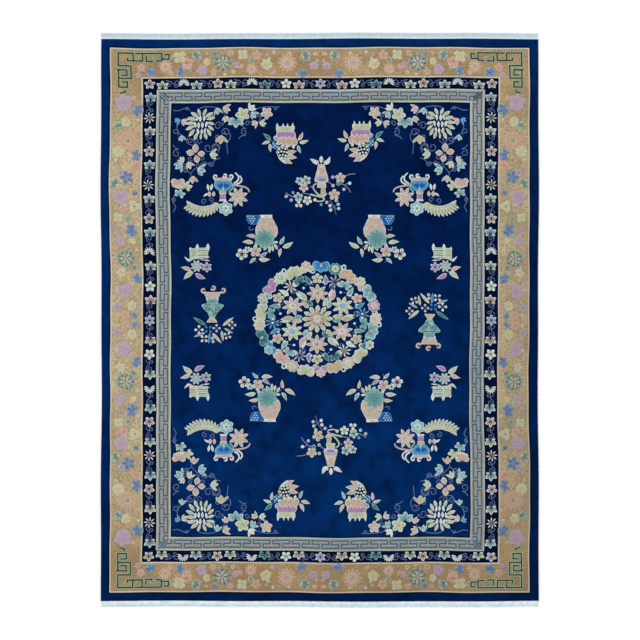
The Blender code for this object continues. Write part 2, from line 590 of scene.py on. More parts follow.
def draw_out(rise, share, middle=(0.0, 0.0), upright=1.0):
    """Extrude what is selected up or down, and scale it about a point at z = 0."""
    bpy.ops.mesh.extrude_region_move(TRANSFORM_OT_translate={"value": (0.0, 0.0, rise)})
    bpy.ops.transform.resize(value=(share, share, upright), center_override=(*middle, 0.0))


def end_shaping():
    """Turn all of the shape's faces outwards, and leave edit mode."""
    bpy.ops.mesh.select_all(action="SELECT")
    bpy.ops.mesh.normals_make_consistent(inside=False)
    bpy.ops.object.mode_set(mode="OBJECT")


def raise_stamp(outline, middle):
    """Shape a flat disc into a soft raised figure with a groove round it, by hand tools."""
    shape = add_disc(len(outline))
    low, first = RINGS[0][0] * MM, RINGS[0][2]
    for vert, point in zip(shape.data.vertices, middle + (outline - middle) * first):
        vert.co = (*point, low)
    start_shaping()
    for before, after in zip(RINGS, RINGS[1:]):
        draw_out((after[0] - before[0]) * MM, after[2] / before[2], middle)
    bpy.ops.mesh.poke(offset=(CENTRE_RISE - RINGS[-1][0]) * MM)
    end_shaping()
    return shape


def take_mesh(shape):
    """Return a shape's points and faces, and drop the shape."""
    points = np.array([vert.co for vert in shape.data.vertices])
    faces = [tuple(face.vertices) for face in shape.data.polygons]
    bpy.data.meshes.remove(shape.data)
    return points, faces


def is_rooted(kind):
    """Say if a stamp starts at a root, and isn't laid out about its middle."""
    return kind in PETALS or kind in VESSELS


def stamp(kind):
    """Return a figure's spokes from its middle, middle, faces, rings and heights."""
    if kind not in STAMPS:
        middle = np.array((0.0, 0.5 if is_rooted(kind) else 0.0))
        if kind in PETALS:
            outline = petal_outline(kind)
        else:
            outline = vessel_outline(kind) if kind in VESSELS else round_outline(kind)
        points, faces = take_mesh(raise_stamp(outline, middle))
        heights = [ring[0] * MM for ring in RINGS] + [CENTRE_RISE * MM]
        ring = np.abs(points[:, 2:3] - heights).argmin(axis=1)
        shares = np.array([ring[2] for ring in RINGS] + [1.0])
        spokes = (points[:, :2] - middle) / shares[ring][:, None]
        STAMPS[kind] = (spokes, middle, faces, ring, points[:, 2])
    return STAMPS[kind]


class Lie:
    """How a figure lies on the rug: its middle, turn and size, and if it is mirrored."""

    def __init__(self, matrix=((1, 0), (0, 1)), middle=(0, 0)):
        self.matrix = np.array(matrix, dtype=float)
        self.middle = np.array(middle, dtype=float)

    def at(self, x, y, turn=0.0, size=1.0, flip=False, wide=1.0):
        """Return the lie of something placed at x, y on this one; turn is in degrees."""
        angle = math.radians(turn)
        cos, sin = math.cos(angle), math.sin(angle)
        spread = np.diag((-wide if flip else wide, 1.0)) * size
        turned = np.array(((cos, -sin), (sin, cos))) @ spread
        return Lie(self.matrix @ turned, self.middle + self.matrix @ (x, y))

    def towards(self, x, y, to_x, to_y, wide=1.0):
        """Return the lie of something that reaches from one point to another."""
        turn = math.degrees(math.atan2(x - to_x, to_y - y))
        return self.at(x, y, turn, size=math.dist((x, y), (to_x, to_y)), wide=wide)

    def mirrored(self):
        """Say if this lie turns a figure over."""
        return np.linalg.det(self.matrix) < 0

    def scale(self):
        """Return how long one unit is on the rug, as a mean of both ways."""
        return math.sqrt(abs(np.linalg.det(self.matrix)))


# A line's flat crest, in shares of its width, and how far its foot spreads beyond it, in
# shares of the groove. The last keeps the foot in at a sharp corner.
CREST, SKIRT, SHARPEST_CORNER = 0.9, 0.3, 0.3
# The sharpest angles, in degrees, that are still shaded smooth.
SMOOTH_FIGURE, SMOOTH_STRAND, SMOOTH_GROUND = 50, 60, 60


class Carving:
    """Gathers many small figures that become one mesh."""

    # The groove colour is painted shade, in the groove round each figure and at its outline's foot.
    def __init__(self, groove="black", outline=1.0, worn=0.0):
        self.points, self.faces, self.dyes, self.count = [], [], [], 0
        self.groove, self.outline, self.worn = dye(groove), outline * sizes().outline, worn

    def add(self, lie, points, faces, dyes):
        """Add one figure's points, faces and dyes, laid down as the lie says."""
        flat = points[:, :2] @ lie.matrix.T + lie.middle
        self.points.append(np.column_stack((flat, points[:, 2])))
        order = -1 if lie.mirrored() else 1
        self.faces += [[self.count + i for i in face][::order] for face in faces]
        self.dyes.append(dyes)
        self.count += len(points)

    def stamp(self, lie, kind, colours, lift=0.0, groove=None, rooted=False):
        """Add one petal, leaf or round figure: colours are its rim, body and heart."""
        spokes, middle, faces, ring, heights = stamp(kind)
        mean = np.hypot(*spokes[ring == FOOT_RING].T).mean() * lie.scale()
        shares = []
        for _, steps, _, least in RINGS:
            step = steps * (self.outline if steps > 0 else sizes().rim)
            shares.append(min(max(1 + step / mean, least), MOST_SPREAD))
        flat = middle + spokes * np.array((*shares, 1.0))[ring][:, None]
        tip, body, heart = (dye(name) for name in colours)
        reach = flat[:, 1] if is_rooted(kind) else np.hypot(*flat.T)
        base = (1 - np.clip(reach / HEART_REACH, 0, 1)) * (ROOT_SHARE if rooted else 0.0)
        centre = ring == MIDDLE_RING
        base[centre] = max(base[centre].max(), MIDDLE_SHARE)
        shoulder = (1 - RIM_SHARE) * body + RIM_SHARE * tip
        shade = np.where((ring >= TOP_RING)[:, None], body, shoulder)
        shade = shade + (heart - shade) * base[:, None]
        # The groove ring and the outline's foot are painted with the groove's shade.
        groove_shade = self.groove if groove is None else dye(groove)
        shade = np.where((ring <= FOOT_RING)[:, None], groove_shade, shade)
        self.add(lie, np.column_stack((flat, heights + lift * MM)), faces, shade)

    def ribbon(self, lie, path, width, colour, taper=1.0, rise=1.0, smooth=4):
        """Add a vine, stem or line along a path, in metres, that may thin to its end."""
        line = np.asarray(path, dtype=float)
        line = rounded(line, smooth) if smooth else line
        ahead = np.diff(line, axis=0)
        ahead /= np.linalg.norm(ahead, axis=1)[:, None]
        before = np.vstack((ahead[:1], ahead))
        after = np.vstack((ahead, ahead[-1:]))
        square = ((before + after) / 2)[:, ::-1] * (-1, 1)
        square /= (square**2).sum(axis=1)[:, None].clip(SHARPEST_CORNER)
        half = width / 2 * np.linspace(1.0, taper, len(line))[:, None]
        crest, skirt, low = CREST * half, half + SKIRT * self.outline, RINGS[0][0]
        rows = []
        for reach, height in ((skirt, low), (crest, rise), (-crest, rise), (-skirt, low)):
            edge = line + square * reach
            rows.append(np.column_stack((edge, np.full(len(line), height * MM))))
        points = np.stack(rows, axis=1).reshape(-1, 3)
        faces = [(0, 1, 2, 3), tuple(4 * (len(line) - 1) + i for i in (3, 2, 1, 0))]
        for step in range(len(line) - 1):
            near, far = 4 * step, 4 * step + 4
            for i in range(4):
                j = (i + 1) % 4
                faces.append((near + i, far + i, far + j, near + j))
        shades = np.tile(dye(colour), (len(points), 1))
        # The ribbon's feet are painted with the groove's shade.
        shades[0::4] = shades[3::4] = self.groove
        self.add(lie, points, faces, shades)

    def finish(self, name):
        """Make the gathered figures one mesh that lies on the rug."""
        points = lie_on_rug(np.vstack(self.points))
        mesh = bpy.data.meshes.new(name)
        mesh.from_pydata(points, [], self.faces)
        # The dye attribute holds the figures' own colours and the painted groove shade round them.
        colours = mesh.color_attributes.new("dye", "FLOAT_COLOR", "POINT")
        shades = np.ones((self.count, 4))
        shades[:, :3] = np.vstack(self.dyes)
        colours.data.foreach_set("color", shades.ravel())
        return finish_mesh(mesh, figure_wool(self.worn), SMOOTH_FIGURE, "wool_pile")


def finish_mesh(mesh, material, angle, slot):
    """Make a mesh a smooth-shaded piece of the rug."""
    mesh.materials.append(material)
    piece = bpy.data.objects.new(mesh.name, mesh)
    bpy.context.scene.collection.objects.link(piece)
    bpy.ops.object.select_all(action="DESELECT")
    piece.select_set(True)
    bpy.context.view_layer.objects.active = piece
    bpy.ops.object.shade_smooth_by_angle(angle=math.radians(angle))
    join_rug(piece, slot)
    return piece


def rounded(path, steps=4):
    """Return a smooth line through a path's points."""
    if len(path) < 3:
        return path
    ends = np.vstack((2 * path[0] - path[1], path, 2 * path[-1] - path[-2]))
    line = []
    for a, b, c, d in zip(ends, ends[1:], ends[2:], ends[3:]):
        for t in np.arange(steps) / steps:
            bend = (2 * a - 5 * b + 4 * c - d) * t**2 + (3 * b - a - 3 * c + d) * t**3
            line.append(b + 0.5 * ((c - a) * t + bend))
    return np.vstack((line, path[-1]))


def curl(x, y, radius, start, sweep, steps=13, eye=0.28):
    """Return a scroll's points, winding in to its eye; angles are in degrees."""
    angles = np.radians(start + sweep * np.arange(steps) / (steps - 1))
    reach = radius * np.linspace(1.0, eye, steps)
    return np.column_stack((x + reach * np.cos(angles), y + reach * np.sin(angles)))


def join_rug(piece, slot):
    """Let a finished piece ride with the rug, and name the finish it takes."""
    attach(piece, "root")
    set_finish(piece, slot)


# ---------------------------------------------------------------- flowers

# colouring: rim, body and heart of the petals, and the eye
COLOURINGS = {
    "rose": ("ivory", "shell", "wine", "wine"),
    "star": ("ivory", "ivory", "wine", "rose"),
    "ivory": ("ivory", "ivory", "straw", "brown"),
    "cream": ("ivory", "cream", "straw", "straw"),
    "straw": ("ivory", "straw", "peach", "sage"),
    "pink": ("ivory", "shell", "salmon", "cream"),
    "peach": ("ivory", "peach", "peach", "straw"),
    "mauve": ("ivory", "mauve", "mauve", "wine"),
    "lilac": ("ivory", "lilac", "violet", "wine"),
    "grey": ("ivory", "mist", "lilac", "mist"),
    "sage": ("ivory", "sage", "straw", "moss"),
    "aqua": ("ivory", "aqua", "teal", "deep_teal"),
    "teal": ("aqua", "teal", "deep_teal", "deep_teal"),
    "sky": ("aqua", "sky", "blue", "ivory"),
    "blue": ("sky", "blue", "blue", "aqua"),
    "blush": ("ivory", "shell", "peach", "straw"),
    "jade": ("aqua", "jade", "teal", "deep_teal"),
    "seeded": ("ivory", "black", "black", "black"),
    "wine": ("wine", "wine", "wine", "wine"),
    "soft_lilac": ("lilac", "lilac", "mauve", "violet"),
    "soft_mauve": ("lilac", "mauve", "mauve", "wine"),
    "soft_pink": ("shell", "salmon", "rose", "cream"),
    "soft_cream": ("cream", "cream", "straw", "moss"),
    "soft_teal": ("aqua", "teal", "deep_teal", "deep_teal"),
    "soft_blue": ("sky", "blue", "blue", "blue"),
    "soft_aster": ("shell", "salmon", "amber", "teal"),
    "veined_cream": ("ivory", "cream", "ink", "ink"),
    "veined_aqua": ("ivory", "aqua", "ink", "ink"),
    "veined_teal": ("aqua", "teal", "ink", "ink"),
    "veined_pink": ("ivory", "shell", "wine", "wine"),
}

# A flower's rings of petals, outermost first.
# flower: stamp, petals, degrees between, first turn, length, width, root from the
# middle, lift in mm, and what it shows: petal, inner, light, ray or eye
FLOWERS = {
    "plum": (
        ("lobe", 5, 72, 0, 0.86, 1.00, 0.13, 0.00, "petal"),
        ("narrow", 5, 72, 36, 0.50, 0.80, 0.00, 0.20, "ray"),
    ),
    "six": (
        ("petal", 6, 60, 0, 0.90, 1.10, 0.08, 0.00, "petal"),
        ("disc", 1, 0, 0, 0.18, 1.00, 0.00, 0.40, "eye"),
    ),
    "eight": (
        ("petal", 8, 45, 22, 0.84, 0.90, 0.14, 0.00, "petal"),
        ("disc", 1, 0, 0, 0.20, 1.00, 0.00, 0.40, "eye"),
    ),
    "star": (
        ("narrow", 8, 45, 10, 0.88, 1.10, 0.14, 0.00, "petal"),
        ("disc", 1, 0, 0, 0.17, 1.00, 0.00, 0.30, "eye"),
    ),
    "trefoil": (
        ("lobe", 3, 120, 0, 0.98, 1.15, 0.02, 0.00, "petal"),
        ("disc", 1, 0, 0, 0.15, 1.00, 0.00, 0.40, "eye"),
    ),
    "clover": (
        ("lobe", 4, 90, 40, 0.96, 1.05, 0.04, 0.00, "petal"),
        ("narrow", 4, 90, 40, 0.55, 0.50, 0.02, 0.15, "ray"),
    ),
    "quatre": (("drop", 4, 90, 0, 0.86, 1.10, 0.14, 0.00, "petal"),),
    "lily": (
        ("petal", 5, 72, 0, 0.92, 1.25, 0.06, 0.00, "petal"),
        ("narrow", 5, 72, 0, 0.50, 0.60, 0.03, 0.15, "ray"),
    ),
    "ivy": (
        ("petal", 2, 208, -104, 0.66, 1.10, 0.06, 0.00, "petal"),
        ("petal", 3, 54, -54, 0.94, 1.05, 0.06, 0.06, "petal"),
        ("narrow", 4, 51, -77, 0.62, 0.80, 0.00, 0.25, "ray"),
    ),
    "shell": (
        ("wide", 2, 148, -74, 0.86, 0.90, 0.00, 0.00, "petal"),
        ("wide", 3, 37, -37, 1.00, 0.85, 0.00, 0.08, "petal"),
        ("narrow", 4, 37, -55, 0.62, 0.60, 0.00, 0.30, "ray"),
        ("drop", 1, 0, 0, 0.50, 1.00, -0.05, 0.45, "light"),
    ),
    "spider": (("narrow", 9, 27, -108, 0.96, 1.30, 0.04, 0.00, "petal"),),
    "pad": (
        ("frill", 1, 0, 0, 1.00, 1.00, 0.00, 0.00, "petal"),
        ("narrow", 11, 360 / 11, 0, 0.80, 0.45, 0.06, 0.20, "ray"),
    ),
    "mum": (
        ("petal", 12, 30, 0, 0.58, 0.96, 0.40, 0.00, "petal"),
        ("petal", 9, 40, 12, 0.46, 1.10, 0.18, 0.15, "light"),
        ("petal", 6, 60, 0, 0.30, 1.20, 0.02, 0.30, "petal"),
    ),
    "blossom": (
        ("wide", 5, 72, 0, 0.90, 0.90, 0.05, 0.00, "petal"),
        ("disc", 1, 0, 0, 0.24, 1.00, 0.00, 0.40, "eye"),
    ),
    "aster": (
        ("narrow", 14, 360 / 14, 0, 0.76, 0.90, 0.24, 0.00, "petal"),
        ("narrow", 14, 360 / 14, 13, 0.52, 0.80, 0.20, 0.10, "petal"),
        ("disc", 1, 0, 0, 0.17, 1.00, 0.00, 0.30, "eye"),
        ("disc", 1, 0, 0, 0.07, 1.00, 0.00, 0.60, "petal"),
    ),
    "rosette": (
        ("petal", 9, 40, 0, 0.48, 1.20, 0.52, 0.00, "petal"),
        ("petal", 9, 40, 20, 0.40, 0.90, 0.42, 0.15, "eye"),
        ("petal", 6, 60, 0, 0.40, 1.20, 0.06, 0.30, "light"),
        ("narrow", 6, 60, 30, 0.50, 1.20, 0.06, 0.45, "eye"),
    ),
    "lotus": (
        ("petal", 8, 45, 0, 0.96, 0.72, 0.04, 0.00, "petal"),
        ("petal", 5, 72, 26, 0.52, 1.10, 0.04, 0.25, "inner"),
    ),
    "iris": (
        ("wide", 3, 52, -52, 0.92, 0.85, 0.06, 0.00, "petal"),
        ("petal", 2, 78, 141, 0.80, 0.80, 0.06, 0.00, "petal"),
        ("petal", 1, 0, 0, 0.50, 1.20, 0.02, 0.25, "ray"),
    ),
}

# Buds grow from a root to a tip one unit away, in the same columns as the flowers.
BUDS = {
    "bud": (
        ("narrow", 2, 64, -32, 0.94, 1.50, 0.00, 0.00, "petal"),
        ("petal", 1, 0, 0, 1.00, 0.78, 0.00, 0.20, "petal"),
    ),
}


# How much higher a petal stands than the one before it, in mm, in turns of three.
PETAL_STEP = 0.04


def add_rings(carving, lie, rings, colouring, lift=0.0):
    """Add a flower or bud of one unit's reach, ring by ring."""
    tip, body, heart, eye = COLOURINGS[colouring]
    shows = {
        "petal": (tip, body, heart),
        "inner": (tip, body, heart),
        "light": ("cream", "shell", "rose"),
        "ray": (heart, heart, heart),
        "eye": (eye, eye, eye),
    }
    rooted = rings not in BUDS.values()
    for kind, petals, step, first, length, wide, root, rise, role in rings:
        # Inner rows, rays and eyes paint a softer groove shade in their own body or heart colour.
        groove = {"inner": body, "ray": heart, "eye": heart}.get(role)
        for number in range(petals):
            turned = lie.at(0, 0, turn=first + step * number)
            petal = turned.at(0, root, size=length, wide=wide)
            height = lift + rise + PETAL_STEP * (number % 3)
            carving.stamp(petal, kind, shows[role], height, groove, rooted)


def add_feather(carving, lie, colours, barb, path):
    """Add a feathery leaf: narrow petals on both sides of a bent spine."""
    line = rounded(path, 3)
    for step, (here, there) in enumerate(zip(line, line[1:])):
        x, y = there - here
        turn = math.degrees(math.atan2(-x, y))
        size = barb * (0.7 + 0.3 * math.sin(math.pi * step / (len(line) - 1)))
        for lean, share in ((46, 1.0), (-46, 0.9)):
            barb_lie = lie.at(*here, turn + lean, size=share * size, wide=1.8)
            carving.stamp(barb_lie, "narrow", colours)
    carving.ribbon(lie, line, 0.22 * barb, colours[1], taper=0.3, rise=1.7, smooth=0)


def draw(carving, lie, rows, unit, grow=1.0, halo=False):
    """Add a drawing: each row names a figure and its colours, then gives its numbers.

    A leaf, bud or vessel: its root, its tip and perhaps its width. A flower: its middle
    and radius, and perhaps its turn and width. A curl: its line's width, its middle,
    radius, start and sweep. A line or feather: its width and then its points. Dots:
    their radius and then their middles. Each plus sign lifts a figure a little. Flowers
    and leaves are made larger by what grow says. A halo is a low pale patch under each
    flower, which softens its outline.
    """
    for row in rows.strip().splitlines():
        word, colouring, *numbers = row.split()
        numbers = [float(number) for number in numbers]
        figure = word.lstrip("+")
        lift = 0.4 * (len(word) - len(figure))
        yarn = COLOURINGS[colouring][1] if colouring in COLOURINGS else colouring
        size = numbers[0] * unit
        points = np.reshape(numbers[1:], (-1, 2)) if len(numbers) % 2 else None
        if figure == "line":
            carving.ribbon(lie, points * unit, size, yarn, taper=0.7, rise=0.8 + lift)
        elif figure == "curl":
            width, x, y, radius, start, sweep = numbers
            scroll = curl(x, y, radius, start, sweep) * unit
            carving.ribbon(lie, scroll, width * unit, yarn, 0.7, 0.8 + lift, smooth=0)
        elif figure == "feather":
            add_feather(carving, lie, COLOURINGS[colouring][:3], size, points * unit)
        elif figure == "dots":
            for x, y in points * unit:
                carving.stamp(lie.at(x, y, size=size), "disc", COLOURINGS[colouring][:3], lift)
        elif figure in FLOWERS or figure in ROUNDS:
            x, y, radius, turn, wide = numbers + [0.0, 1.0][len(numbers) - 3 :]
            place = lie.at(x * unit, y * unit, turn, size=radius * unit * grow, wide=wide)
            if halo:
                patch = place.at(0, IVY_MIDDLE if figure == "ivy" else 0, size=HALO_SIZE)
                carving.stamp(patch, "halo", COLOURINGS[colouring][:1] * 3, HALO_LIFT)
            if figure in FLOWERS:
                add_rings(carving, place, FLOWERS[figure], colouring, lift)
            else:
                carving.stamp(place, figure, COLOURINGS[colouring][:3], lift)
        else:
            x, y, to_x, to_y = np.array(numbers[:4]) * unit
            wide = numbers[4] if len(numbers) > 4 else 1.0
            place = lie.towards(x, y, to_x, to_y, wide).at(0, 0.5 - 0.5 * grow, size=grow)
            if figure in BUDS:
                add_rings(carving, place, BUDS[figure], colouring, lift)
            else:
                carving.stamp(place, figure, COLOURINGS[colouring][:3], lift)


def border_lies(name):
    """Yield each border run's name, its half and the lie from its middle outwards."""
    (across, along), _ = band_middle(name)
    for half in (-1, 1):
        yield "top", Lie(((half, 0), (0, 1)), (0, along))
        yield "bottom", Lie(((half, 0), (0, -1)), (0, -along))
        yield "left", Lie(((0, -1), (half, 0)), (-across, 0))
        yield "right", Lie(((0, 1), (half, 0)), (across, 0))


# ---------------------------------------------------------------- the pile


DARK_BANDS = ("outer", "guard", "field")
# Near the rug's edge, in mm: how far in from it, and how far the pile falls away there.
EDGE_ROUNDING = ((0, 5.5), (2, 2.6), (5, 0.8), (9, 0.0))
# The ground's lines: how many cross half the field, how far apart they are in the bands,
# how far from the rug's edge those end, and the least distance between two lines.
FIELD_LINES, LINE_PITCH, LAST_LINE, LEAST_PITCH = 24, 0.06, 0.02, 0.6 * MM
# In groove half widths from an edge between bands, how deep the ground is carved and painted
# with shade: from the pale side to the dark, and both ways where neither side is dark.
WIDE_CUT = ((-0.5, 0.0), (0.0, 1.0), (1.6, 1.0), (3.0, 0.0))
NARROW_CUT = ((0.0, 0.4), (1.0, 0.0))


def dark_side(outside, inside):
    """Say where the dark band lies at an edge: 1 is outside, -1 is inside, 0 is nowhere."""
    return (outside[0] in DARK_BANDS) - (inside[0] in DARK_BANDS)


def line_places(half, edges, column, groove):
    """Return where the ground's lines lie: at the rug's edge, each groove and between."""
    places = {0.0, *(half - inside * MM for inside, _ in EDGE_ROUNDING)}
    for outside, inside in zip(edges, edges[1:]):
        side = dark_side(outside, inside)
        steps = (-1, 0, 1, 2, 3) if side else (-1, 0, 1)
        places |= {inside[column] + step * (side or 1) * groove for step in steps}
    inner = edges[-1][column]
    places |= set(np.linspace(0, inner - 4 * groove, FIELD_LINES))
    places |= set(np.arange(inner, half - LAST_LINE, LINE_PITCH))
    kept = []
    for place in sorted(places):
        if not kept or place - kept[-1] > LEAST_PITCH or place == half:
            kept.append(place)
    return np.array([-place for place in kept[:0:-1]] + kept)


def edge_drop(inside):
    """Return how far the pile falls away near the rug's edge."""
    return np.interp(inside, *(np.array(EDGE_ROUNDING).T * MM))


class RUG_OT_pile(bpy.types.Operator):
    """Make the rug's ground: one pile with its bands and the grooves between them"""

    bl_idname = "rug.pile"
    bl_label = "Ground Pile"

    def execute(self, context):
        edges = band_edges()
        groove = sizes().groove_half
        across = line_places(HALF_WIDTH, edges, 1, groove)
        along = line_places(HALF_LENGTH, edges, 2, groove)
        columns, rows = len(across) - 1, len(along) - 1
        bpy.ops.object.select_all(action="DESELECT")
        bpy.ops.mesh.primitive_grid_add(
            x_subdivisions=columns, y_subdivisions=rows, size=2
        )
        ground = context.object
        ground.name = ground.data.name = "pile_ground"
        mesh = ground.data
        flat = np.empty(len(mesh.vertices) * 3)
        mesh.vertices.foreach_get("co", flat)
        flat = flat.reshape(-1, 3)
        x = across[np.rint((flat[:, 0] + 1) / 2 * columns).astype(int)]
        y = along[np.rint((flat[:, 1] + 1) / 2 * rows).astype(int)]
        carved = self.carve(x, y, edges, groove)
        inside = np.minimum(HALF_WIDTH - abs(x), HALF_LENGTH - abs(y))
        drop = carved * sizes().groove_depth + edge_drop(inside)
        laid = lie_on_rug(np.column_stack((x, y, -drop)))
        mesh.vertices.foreach_set("co", laid.ravel())
        # The carving's depth is stored to paint shade into the grooves.
        shade = mesh.attributes.new("carved", "FLOAT", "POINT")
        shade.data.foreach_set("value", carved)
        self.colour_bands(mesh, x, y, edges[1:])
        self.thicken(ground)
        join_rug(ground, "wool_pile")
        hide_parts("rug_body")
        return {"FINISHED"}

    def carve(self, x, y, edges, groove):
        """Return how deep each point is carved, which also sets its painted groove shade: a wide
        cut on the dark side of an edge.
        """
        carved = np.zeros(len(x))
        for outside, inside in zip(edges, edges[1:]):
            near = np.maximum(abs(x) - inside[1], abs(y) - inside[2])
            side = dark_side(outside, inside)
            if side:
                cut = np.interp(side * near / groove, *np.array(WIDE_CUT).T)
            else:
                cut = np.interp(abs(near) / groove, *np.array(NARROW_CUT).T)
            carved = np.maximum(carved, cut)
        return carved

    def colour_bands(self, mesh, x, y, edges):
        """Give each face the wool of its band."""
        wools = ("navy_edge_pile", "cream_pile", "gold_pile", "cream_pile", "ink_pile")
        wools += ("bone_pile", "fret_pile", "bone_pile", "navy_pile")
        used = list(dict.fromkeys(wools))
        for name in used:
            mesh.materials.append(make_ground_wool(name))
        for face in mesh.polygons:
            corners = list(face.vertices)
            middle_x, middle_y = abs(x[corners].mean()), abs(y[corners].mean())
            inside = sum(middle_x < edge[1] and middle_y < edge[2] for edge in edges)
            face.material_index = used.index(wools[inside])

    def thicken(self, ground):
        """Bring the sheet down to a flat underside."""
        start_shaping()
        draw_out(-RUG_TOP, 1.0, upright=0.0)
        end_shaping()
        bpy.ops.object.shade_smooth_by_angle(angle=math.radians(SMOOTH_GROUND))


# ---------------------------------------------------------------- the fringes


# A strand's corners, and how much it thins in each of its lengths.
STRAND_CORNERS, THINNING = 5, (0.95, 0.90, 0.55)
# Strand to strand, in strand thicknesses. In mm: the bare stretch at each end of the
# fringe, and how far the upper layer is shifted.
STRAND_PITCH, BARE_END, LAYER_SHIFT = 1.2, 4, 1.5
# The web's profile in mm, from its foot by the pile: past the pile, and height. Then the
# heights of its outer side, which wavers by this much.
WEB_INNER, WEB_OUTER, WEB_WAVE = ((0.3, 0.1), (0.3, 2.6), (4.0, 3.0)), (1.6, 0.1), 0.5 * MM
WEB_STATIONS, WEB_INSET = 320, 3 * MM
# How far a strand starts inside the web, and how much one may be short, lean and bow.
STRAND_OVERLAP, MOST_SHORT, MOST_LEAN, MOST_BOW = 1.5 * MM, 5 * MM, 2.4 * MM, 1.1 * MM


def strand_mesh():
    """Shape one loose strand, one unit long, drawn out from a small ring and thinned."""
    shape = add_disc(STRAND_CORNERS)
    start_shaping()
    for share in THINNING:
        draw_out(1 / len(THINNING), share)
    end_shaping()
    return take_mesh(shape)


class RUG_OT_fringe(bpy.types.Operator):
    """Make the two fringes: a narrow woven web and its loose cotton strands"""

    bl_idname = "rug.fringe"
    bl_label = "Fringes"

    def execute(self, context):
        strand, faces = strand_mesh()
        for name, end in (("top", 1), ("bottom", -1)):
            points, sides = [self.web_points()], list(self.web_faces())
            count = len(points[0])
            number = 0
            for layer in (0, 1):
                pitch = STRAND_PITCH * sizes().strand
                start = -HALF_WIDTH + (BARE_END + LAYER_SHIFT * layer) * MM
                for x in np.arange(start, HALF_WIDTH - BARE_END * MM, pitch):
                    points.append(self.lay_strand(strand, x, layer, number))
                    sides += [tuple(count + i for i in face) for face in faces]
                    count += len(strand)
                    number += 1
            laid = np.vstack(points)
            edge = np.interp(laid[:, 0], END[:, 0], END[:, 1])
            laid[:, 1] = end * (edge + laid[:, 1])
            if end > 0:
                sides = [face[::-1] for face in sides]
            mesh = bpy.data.meshes.new(f"fringe_cotton_{name}")
            mesh.from_pydata(laid, [], sides)
            fringe = finish_mesh(mesh, fringe_cotton(), SMOOTH_STRAND, "fringe_cotton")
            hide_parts(f"fringe_{name}")
        return {"FINISHED"}

    def web_points(self):
        """Return the woven web's corners, station by station; y is past the pile."""
        stations = np.linspace(-HALF_WIDTH + WEB_INSET, HALF_WIDTH - WEB_INSET, WEB_STATIONS)
        wave = WEB_WAVE * turns(0.31 * np.arange(WEB_STATIONS))
        flat = np.zeros(WEB_STATIONS)
        profile = [(flat + past * MM, height) for past, height in WEB_INNER]
        profile += [(sizes().web + wave, height) for height in WEB_OUTER]
        rows = [np.column_stack((stations, out, flat + height * MM)) for out, height in profile]
        return np.stack(rows, axis=1).reshape(-1, 3)

    def web_faces(self):
        """Yield the web's faces, closed at both ends."""
        corners = len(WEB_INNER) + len(WEB_OUTER)
        yield tuple(range(corners))
        yield tuple(corners * (WEB_STATIONS - 1) + i for i in range(corners))[::-1]
        for step in range(WEB_STATIONS - 1):
            near, far = corners * step, corners * (step + 1)
            for i in range(corners):
                j = (i + 1) % corners
                yield (near + j, near + i, far + i, far + j)

    def lay_strand(self, strand, x, layer, number):
        """Return one strand's points, lying on the floor; y is past the pile."""
        share = strand[:, 2]
        uneven = 0.5 + 0.5 * math.sin(2.4 * number) * math.cos(0.7 * number)
        start = sizes().web - STRAND_OVERLAP
        length = sizes().fringe - start - MOST_SHORT * uneven**2
        lean = MOST_LEAN * math.sin(1.9 * number + 2.1 * math.sin(0.07 * number))
        bow = MOST_BOW * math.sin(3.7 * number)
        radius = sizes().strand / 2
        across = x + radius * strand[:, 0] + lean * share**2 + bow * np.sin(math.pi * share)
        height = (0.85 + 0.75 * layer) * MM * (1 - 0.25 * share) + 0.65 * radius * strand[:, 1]
        return np.column_stack((across, start + length * share, height))


# ---------------------------------------------------------------- the fret


def key_fret(period, count, outer, middle, inner, gap):
    """Return the corners of a fret line whose keys hook round each other."""
    path = []
    for number in range(-count, count):
        start, end = number * period + gap, (number + 1) * period - gap
        path += [(start, outer), (end, outer), (end, middle)]
        start, end = start + period / 2, end + period / 2
        path += [(start, middle), (start, inner), (end, inner), (end, middle)]
        path.append((start - period / 2 + period, middle))
    return path


def clip_to_mitre(path, reach):
    """Cut a fret line where it meets the corner's slanting line."""
    runs, run = [], []
    for (x0, y0), (x1, y1) in zip(path, path[1:]):
        steps = max(2, int(math.hypot(x1 - x0, y1 - y0) / 0.004))
        for share in np.linspace(0, 1, steps):
            x, y = x0 + (x1 - x0) * share, y0 + (y1 - y0) * share
            if abs(x) < reach + y:
                run.append((x, y, share in (0.0, 1.0)))
            elif run:
                runs.append(run)
                run = []
    runs.append(run)
    lines = []
    for run in runs:
        if len(run) < 2:
            continue
        points = [point for i, point in enumerate(run) if point[2] or i in (0, len(run) - 1)]
        line = [points[0][:2]]
        for point in points[1:]:
            if math.dist(point[:2], line[-1]) > 0.002:
                line.append(point[:2])
        if len(line) > 1:
            lines.append(line)
    return lines


